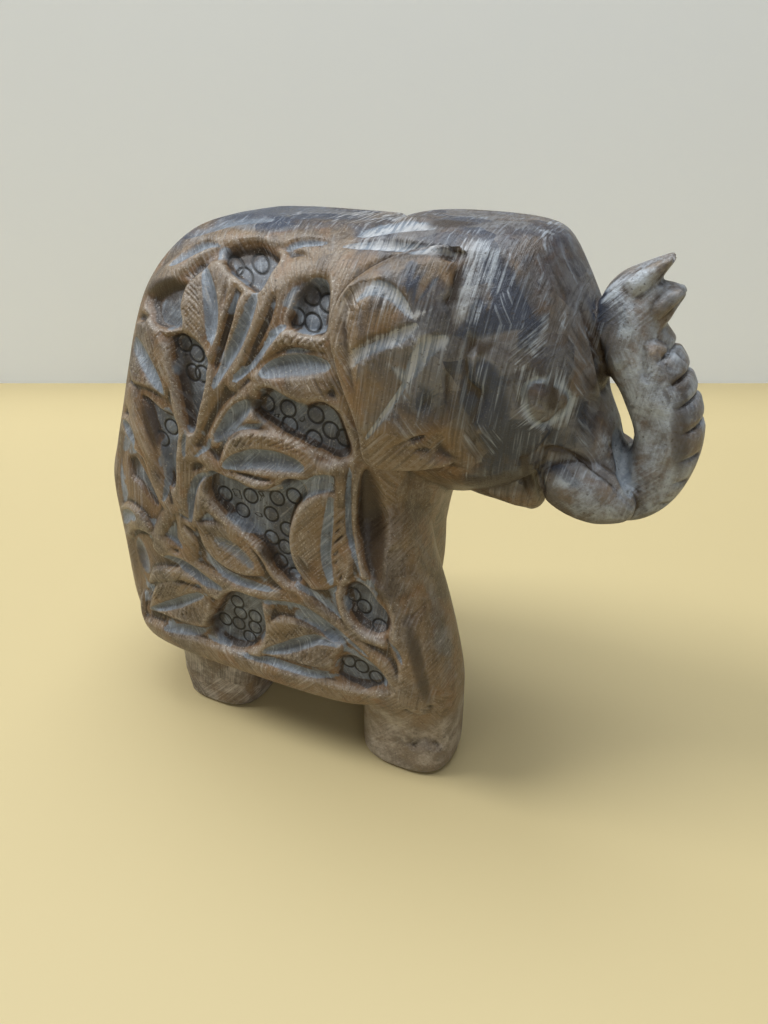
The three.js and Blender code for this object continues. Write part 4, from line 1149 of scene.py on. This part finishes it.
rim = smooth_path([(9, 57), (7.8, 63), (8.1, 67.8), (10.6, 72), (15.8, 74.3), (21.4, 74.8)])
near, across, _, _ = beside_path(drawn_head, rim, 1.4)
ear_rim = np.zeros(len(skin))
ear_rim[near] = 0.62 * bell(across, 0, 0.7)
ear_rim *= side_weight * (1 - on_head)
# Faces that look downward, most of all on the head, are darkened as painted shade; this goes into the brown
# mask.
under = ramp(-facing_out(rubbed(carved, SOFTEN_ROUNDS))[:, 2], 0.15, 0.8) * (0.35 + 0.5 * on_head)
brown = strongest(daubs(drawn_head, brown_marks) * on_face, daubs(drawn, flank_brown_marks))
brown = strongest(brown, ear_rim, 0.55 * ear_brown, under) * (1 - rump_weight)
pale = strongest(daubs(drawn_head, pale_marks) * on_face, relief.pale * side_weight)
pale = strongest(pale, 0.46 * on_trunk, 0.4 * on_foot)
print("masks painted")

# %% [markdown]
# Painted light and shade follow the form, and so do dirt and wear. The skin is compared with a rubbed-down
# copy of itself: where it stands above the copy is a ridge that hands have polished, lightened too as a
# painted highlight, and where it lies below is a corner that polish fills, darkened too as painted shade.

# %% Ridges and corners
FORM_ROUNDS = 36
proud = ((carved - rubbed(carved, FORM_ROUNDS)) * outward).sum(1)
print("ridges stand", proud.max().round(2), "mm proud, corners lie", proud.min().round(2), "mm low")

# %% Thin the mesh where the stone is flat
BUDGET = 190000


def keep(mesh, name, values):
    """Stores a number or a vector for each point, under a name that the shader can read."""
    vector = values.ndim == 2
    attribute = mesh.attributes.new(name, "FLOAT_VECTOR" if vector else "FLOAT", "POINT")
    attribute.data.foreach_set("vector" if vector else "value", values.astype(np.float32).ravel())


facing_out(carved)
masks = {
    "blue": all_round("blue"),
    "pale": pale,
    "slate": slate,
    "brown": brown,
    "way": way,
    "guided": hand_led,
    "rump": rump_weight,
    "worn": rubbed_bare,
    "trunk": on_trunk,
    "sunk": cut_depth,
    "proud": proud,
    "pocket_floor": on_floor,
}
for name, values in masks.items():
    keep(carving.data, name, values)
triangles = 2 * len(carving.data.polygons)
carving.data = modified(carving, "DECIMATE", ratio=BUDGET / triangles, use_collapse_triangulate=True)
carving.data.name = "soapstone_elephant"
print(len(carving.data.polygons), "triangles in the carving")

# %% [markdown]
# The ring lines are finer than the thinned mesh, so the shader draws their dark polish. A distance to the
# nearest ring would be blurred where two rings meet, so the rings are dealt out into sets whose members lie
# far apart, and each set stores the offset from its nearest centre, which stays true right across a
# triangle. Past the ring a third number grows, so that no ring is seen halfway between two centres.

# %% Offsets from the rings
APART = 3.6
NO_RING = 9.0
finished = read(carving.data.vertices, "co", 3)
on_rump = read(carving.data.attributes["rump"].data, "value", 1) > 0.5


def nearest_offset(places, centres):
    """The way from the nearest centre to each place."""
    distance = np.hypot(places[:, None, 0] - centres[:, 0], places[:, None, 1] - centres[:, 1])
    return places - centres[distance.argmin(1)]


ring_sets = []
for centre in rings:
    for members in ring_sets:
        if np.hypot(*(np.array(members) - centre).T).min() > APART:
            members.append(centre)
            break
    else:
        ring_sets.append([centre])
from_rump_ring = nearest_offset(finished[:, [1, 2]] * (-1, 1), rump_rings)
for number, members in enumerate(ring_sets):
    offset = nearest_offset(on_sheet(finished, SHEET), np.array(members))
    offset = np.where(on_rump, from_rump_ring if number == 0 else NO_RING, offset)
    beyond = 6 * np.clip(np.hypot(*offset.T) - RING_RADIUS - 0.3, 0, 1)
    keep(carving.data, f"ring_{number}", np.column_stack([offset, beyond]))
print(len(ring_sets), "sets of rings")

# %% Into metres and into place
finished[:, 0] += setting_out
finished[:, 2] = np.maximum(finished[:, 2], 0)
carving.data.vertices.foreach_set("co", (finished * METRES).astype(np.float32).ravel())
carving.data.update()
carving.data.polygons.foreach_set("use_smooth", np.ones(len(carving.data.polygons), bool))
print("carving spans", (np.ptp(finished, axis=0)).round(2), "mm")

# %% [markdown]
# Shader nodes are easier to read as sums. A small class stands for one socket, and plus, times and minus on
# it add the Math nodes; colours are mixed by a Mix node, because a Math node would turn them grey.

# %% Sockets that can be added and multiplied
stone = bpy.data.materials.new("soapstone")
stone.use_nodes = True
tree = stone.node_tree


class Value:
    """One socket. Arithmetic on it makes the nodes that work it out."""

    def __init__(self, socket):
        self.socket = socket

    @staticmethod
    def node(kind, settings=None, out=0, **inputs):
        """Makes a node, applies its settings, feeds its sockets by name or number, and gives one output."""
        made = tree.nodes.new(kind)
        for setting, value in (settings or {}).items():
            setattr(made, setting, value)
        for name, value in inputs.items():
            place = made.inputs[int(name[1:])] if name[0] == "_" else made.inputs[name]
            if isinstance(value, Value):
                tree.links.new(value.socket, place)
            else:
                place.default_value = value
        return Value(made.outputs[out])

    def maths(self, operation, *others, **settings):
        """One Math node, with this value first."""
        inputs = {f"_{number}": value for number, value in enumerate((self, *others))}
        return Value.node("ShaderNodeMath", {"operation": operation, **settings}, **inputs)

    def __add__(self, other):
        return self.maths("ADD", other)

    def __sub__(self, other):
        return self.maths("SUBTRACT", other)

    def __mul__(self, other):
        return self.maths("MULTIPLY", other)

    def __rsub__(self, other):
        return Value.node("ShaderNodeMath", {"operation": "SUBTRACT"}, _0=other, _1=self)

    __radd__ = __add__
    __rmul__ = __mul__

    def __abs__(self):
        return self.maths("ABSOLUTE")

    def clamped(self):
        """Kept between 0 and 1."""
        return self.maths("ADD", 0.0, use_clamp=True)

    def ramp(self, low, high):
        """0 below low and 1 above high, eased between, and the other way round where low is the larger."""
        inputs = {"_1": min(low, high), "_2": max(low, high)}
        up = Value.node("ShaderNodeMapRange", {"interpolation_type": "SMOOTHSTEP"}, _0=self, **inputs)
        return up if high > low else 1 - up

    def largest(self, other):
        """The larger of the two."""
        return self.maths("MAXIMUM", other)


print(Value.node.__doc__)

# %% Stored masks, vectors and colours


def mask(name, out="Fac"):
    """What was stored for each point under this name: a number, or with out "Vector" a vector."""
    return Value.node("ShaderNodeAttribute", {"attribute_name": name}, out)


def vector_maths(operation, first, second):
    """One Vector Math node of two vectors."""
    return Value.node("ShaderNodeVectorMath", {"operation": operation}, _0=first, _1=second)


def mixed(share, below, above):
    """below where share is 0 and above where it is 1, for colours, each a socket or three numbers."""
    below, above = (value if isinstance(value, Value) else (*value, 1) for value in (below, above))
    settings = {"data_type": "RGBA"}
    return Value.node("ShaderNodeMix", settings, 2, _0=share, _6=below, _7=above)


print("masks to read:", ", ".join(masks))

# %% [markdown]
# Three kinds of unevenness are enough for this stone: soft clouds a few millimetres across, grain finer
# than a millimetre, and straight scratches from files and wire wool, which are only noise squeezed along
# one direction.

# %% Clouds, grain and scratches
place = Value.node("ShaderNodeTexCoord", out="Object")


def clouds(size_mm, detail=4.0, roughness=0.6, distortion=0.0, shift=0.0):
    """Noise whose lumps are about size_mm across, from 0 to 1."""
    moved = vector_maths("ADD", place, (shift, shift, shift))
    inputs = {"Scale": 1000 / size_mm, "Detail": detail, "Roughness": roughness, "Distortion": distortion}
    return Value.node("ShaderNodeTexNoise", None, "Fac", Vector=moved, **inputs)


STROKE_DETAIL = 1.5
STROKE_DEEP = 2.5


def scratches(turn, along_mm, across_mm, shift=0.0):
    """Noise drawn out along one direction: turned about Y, then along and across have their own sizes."""
    sizes = (1000 / along_mm, 1000 / STROKE_DEEP, 1000 / across_mm)
    turned = {"Rotation": (0, math.radians(turn), 0), "Location": (shift, shift, shift)}
    drawn_out = vector_maths("MULTIPLY", Value.node("ShaderNodeMapping", _0=place, **turned), sizes)
    inputs = {"Scale": 1.0, "Detail": STROKE_DETAIL, "Roughness": 0.65}
    return Value.node("ShaderNodeTexNoise", None, "Fac", Vector=drawn_out, **inputs)


def chosen(picker, first, second, third):
    """One of three by a picker from 0 to 1."""
    past_first = picker.ramp(0.3, 0.36)
    past_second = picker.ramp(0.63, 0.69)
    return first * (1 - past_first) + second * (past_first - past_second) + third * past_second


cloud = clouds(9, 5, 0.62, 0.6)
mottle = clouds(3.2, 5, 0.65, 0.4, 0.31)
grain = clouds(0.5, 4, 0.7, 0, 0.12)
print("three kinds of unevenness")

# %% [markdown]
# Strokes run in one direction over a patch as large as the hand reached, then turn. Patches come from a
# Voronoi texture, bent by a little noise, which gives each patch a colour of its own: its red number picks
# the stroke direction and its green number shifts the tone. On the head the painted directions take over.

# %% Patches and strokes
PATCH_MM = 6.5
PATCH_BEND = 0.005
bend = Value.node("ShaderNodeTexNoise", None, "Color", Vector=place, Scale=160.0, Detail=2.0)
bend = Value.node("ShaderNodeVectorMath", {"operation": "SCALE"}, _0=bend, Scale=PATCH_BEND)
bent = {"Vector": vector_maths("ADD", place, bend), "Scale": 1000 / PATCH_MM}
patch = Value.node("ShaderNodeTexVoronoi", {"feature": "F1"}, "Color", **bent)
patch_way = Value.node("ShaderNodeSeparateColor", _0=patch)
patch_tone = Value.node("ShaderNodeSeparateColor", None, 1, _0=patch)
guided = mask("guided")
picker = mask("way") * guided + patch_way * (1 - guided)
strokes = chosen(picker, scratches(-58, 8, 0.27), scratches(82, 9, 0.3, 0.4), scratches(46, 8, 0.28, 0.2))
worn = mask("worn") * 0.7
strokes = strokes * (1 - worn) + (mottle * 0.5 + grain * 0.5) * worn
print("strokes in patches of about", PATCH_MM, "mm")

# %% Colour
OCHRE = (0.19, 0.125, 0.064)
UMBER = (0.085, 0.058, 0.036)
NEARLY_BLACK = (0.012, 0.01, 0.008)
# DARK_BROWN is dark wax and stain, and also painted shade in corners, on low ground and under the head.
DARK_BROWN = (0.034, 0.021, 0.012)
SLATE = (0.03, 0.038, 0.06)
GREY_BROWN = (0.155, 0.15, 0.148)
BLUE_GREY = (0.17, 0.2, 0.235)
CHALK = (0.42, 0.46, 0.5)
# BUFF is worn stone, and on the ridges it is also a painted highlight.
BUFF = (0.27, 0.22, 0.165)
RUST = (0.19, 0.09, 0.026)
CREAM = (0.5, 0.43, 0.35)
DARK_SLATE = (0.062, 0.066, 0.074)
SPECK = (0.5, 0.45, 0.38)
print("thirteen colours of stone and polish")

# %% The stone itself: brown with slate in it
slate_mask = mask("slate")
proud_mask = mask("proud")
sunk_mask = mask("sunk")
trunk = mask("trunk")
body = mixed((cloud + (patch_tone - 0.5) * 0.12).ramp(0.36, 0.6), UMBER, OCHRE)
body = mixed((mottle * 0.55 + grain * 0.45).ramp(0.44, 0.6) * 0.55, body, BUFF)
rust_place = sunk_mask.ramp(0.3, 0.9).largest(clouds(5, 4, 0.6, 0.5, 0.77).ramp(0.5, 0.64) * 0.85)
body = mixed(rust_place * (0.62 + (mottle - 0.5) * 2.2).clamped() * 0.9, body, RUST)
grey_stone = mixed((mottle + (patch_tone - 0.5) * 0.35).ramp(0.36, 0.62), SLATE, GREY_BROWN)
grey_stone = mixed(cloud.ramp(0.48, 0.62) * 0.62, grey_stone, UMBER)
body = mixed((slate_mask + (mottle - 0.5) * 0.9).ramp(0.25, 0.75), body, grey_stone)
dark_place = slate_mask - 0.72 + (mottle - 0.5) * 0.5 + (strokes - 0.5) * 0.5
body = mixed(dark_place.ramp(-0.1, 0.25) * 0.92, body, SLATE)
body = mixed(strokes.ramp(0.52, 0.3) * (0.38 + guided * 0.08), body, NEARLY_BLACK)
body = mixed(trunk * (0.45 + (mottle - 0.5) * 1.6).clamped() * 0.8, body, BLUE_GREY)
body = mixed(mask("worn") * (1 - trunk) * (0.5 + (mottle - 0.5) * 1.2).clamped(), body, BUFF)
print("body mixed")

# %% Dark corners as dark wax and painted shade, and pale hollows
on_ground = sunk_mask.ramp(0.4, 0.9) * clouds(6, 3, 0.5, 0.3, 0.63).ramp(0.5, 0.62)
blue = mask("blue").largest(on_ground * 0.75)
# Corners and low ground go dark brown: dark wax there, and painted shade.
corner = (0 - proud_mask).ramp(0.015, 0.16)
low_ground = sunk_mask.ramp(0.3, 1.2)
body = mixed((corner * 0.95 + low_ground * 0.3).clamped() * (1 - blue * 0.45), body, DARK_BROWN)
hollow = mixed(strokes.ramp(0.45, 0.72) * 0.5, BLUE_GREY, CHALK)
hollow = mixed(mottle.ramp(0.42, 0.6) * 0.55, hollow, DARK_SLATE)
hollow = mixed(mask("pocket_floor") * (0.55 + (mottle - 0.5) * 2).clamped() * 0.9, hollow, DARK_SLATE)
rubbed_blue = (blue * 1.25 + (mottle - 0.5) * 0.6 + (grain - 0.5) * 0.6).ramp(0.25, 0.8)
body = mixed(rubbed_blue * 0.92, body, hollow)
print("hollows rubbed")

# %% Ridges paled by wear and by a painted highlight, strokes, specks and pits
# Ridges go buff: polish worn by hands, and a painted highlight.
ridge = proud_mask.ramp(0.04, 0.24)
body = mixed(ridge * (1 - slate_mask * 0.6).clamped() * grain.ramp(0.3, 0.6) * 0.7, body, BUFF)
marks = strokes.ramp(0.52, 0.7)
body = mixed(marks * (0.13 + slate_mask * 0.14), body, CHALK)
rubbed_pale = (mask("pale") + (strokes - 0.5) * 1.7 + (mottle - 0.5) * 1.2).ramp(0.25, 0.95)
body = mixed(rubbed_pale * 0.76, body, mixed(guided, CREAM, CHALK))
speck = clouds(0.24, 1, 0.5, 0, 0.53).ramp(0.62, 0.72)
body = mixed(speck * (0.3 + ridge * 0.5) * (1 - guided * 0.8), body, SPECK)
pit = clouds(0.5, 2, 0.6, 0, 0.91).ramp(0.36, 0.28)
body = mixed(pit * 0.6, body, DARK_BROWN)
# The brown mask holds stains, the ear rim, painted shade on faces that look downward, and flank daubs that
# are partly painted shade.
body = mixed((mask("brown") + (mottle - 0.5) * 0.7).ramp(0.25, 0.9) * 0.85, body, DARK_BROWN)
# Besides wear and dirt, this cell paints a highlight on ridges and, through the brown mask, shade.
print("wear and dirt on")

# %% Dark polish in the rings


def ring_line(number):
    """1 on the rings of one set and 0 off them, from the stored offset's length and the radius."""
    offset = mask(f"ring_{number}", "Vector")
    away = Value.node("ShaderNodeVectorMath", {"operation": "LENGTH"}, "Value", _0=offset)
    return abs(away - RING_RADIUS).ramp(0.2, 0.1)


rings_seen = ring_line(0)
for number in range(1, len(ring_sets)):
    rings_seen = rings_seen.largest(ring_line(number))
body = mixed(rings_seen * mask("pocket_floor").ramp(0.5, 0.9) * 0.93, body, NEARLY_BLACK)
print(len(ring_sets), "sets of rings darkened")

# %% Gloss and fine relief
shader = tree.nodes["Principled BSDF"]
tree.links.new(body.socket, shader.inputs["Base Color"])
WAXED = 0.42
roughness = WAXED + (grain - 0.5) * 0.25 + marks * 0.12 + blue * 0.12
tree.links.new(roughness.socket, shader.inputs["Roughness"])
SCRATCH_HEIGHT = 0.0002
height = strokes * 0.8 + grain * 0.9
bump = Value.node("ShaderNodeBump", None, "Normal", Height=height, Strength=0.7, Distance=SCRATCH_HEIGHT)
tree.links.new(bump.socket, shader.inputs["Normal"])
shader.inputs["IOR"].default_value = 1.5  # wax on stone
carving.data.materials.clear()
carving.data.materials.append(stone)
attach(carving, "root")
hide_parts("elephant_carving")
print("stone finished")

# %% [markdown]
# A pale table and a soft window on the left show the relief: the light rakes across the flank from above,
# so the upper wall of each hollow is dark and the lower one bright.

# %% Table and wall


def plain_sheet(name, corners, colour):
    """A flat square in one colour."""
    mesh = bpy.data.meshes.new(name)
    mesh.from_pydata(corners, [], [(0, 1, 2, 3)])
    paint = bpy.data.materials.new(name)
    paint.use_nodes = True
    finish = paint.node_tree.nodes["Principled BSDF"].inputs
    finish["Base Color"].default_value = (*colour, 1)
    finish["Roughness"].default_value = 0.6
    mesh.materials.append(paint)
    new_object(name, mesh)


TABLE_HALF = 3
TABLE_COLOUR = (0.51, 0.41, 0.21)
WALL_BEHIND = 0.145
WALL_HIGH = 0.125
WALL_HALF = 1.5
WALL_COLOUR = (0.85, 0.89, 0.93)
square = [(-1, -1, 0), (1, -1, 0), (1, 1, 0), (-1, 1, 0)]
plain_sheet("table", [(TABLE_HALF * x, TABLE_HALF * y, z) for x, y, z in square], TABLE_COLOUR)
heading = np.array([-math.sin(TURN), math.cos(TURN)])
beside = np.array([math.cos(TURN), math.sin(TURN)]) * WALL_HALF
left, right = heading * WALL_BEHIND - beside, heading * WALL_BEHIND + beside
plain_sheet("wall", [(*left, 0), (*right, 0), (*right, WALL_HIGH), (*left, WALL_HIGH)], WALL_COLOUR)
print("table and wall, both plain")

# %% Light
AIM = Vector((0, 0, 0.04))


def soft_light(name, stands_at, size, power, colour):
    """A square lamp that faces the middle of the carving. Its power is in watts."""
    data = bpy.data.lights.new(name, "AREA")
    data.size = size
    data.energy = power
    data.color = colour
    lamp = new_object(name, data)
    lamp.location = stands_at
    lamp.rotation_euler = (AIM - Vector(stands_at)).to_track_quat("-Z", "Y").to_euler()


soft_light("window", (-0.8, -0.3, 1), 0.4, 12, (0.95, 0.98, 1))
soft_light("sky", (-0.02, 0.04, 0.6), 0.45, 3.6, (0.88, 0.94, 1))
soft_light("room", (0.5, -0.7, 0.4), 0.6, 1.7, (0.95, 0.97, 1))
world = bpy.data.worlds.new("room")
world.use_nodes = True
dim_room = world.node_tree.nodes["Background"].inputs
dim_room["Color"].default_value = (0.9, 0.92, 0.95, 1)
dim_room["Strength"].default_value = 0.13
bpy.context.scene.world = world
bpy.context.scene.view_settings.view_transform = "Standard"
print("lit")
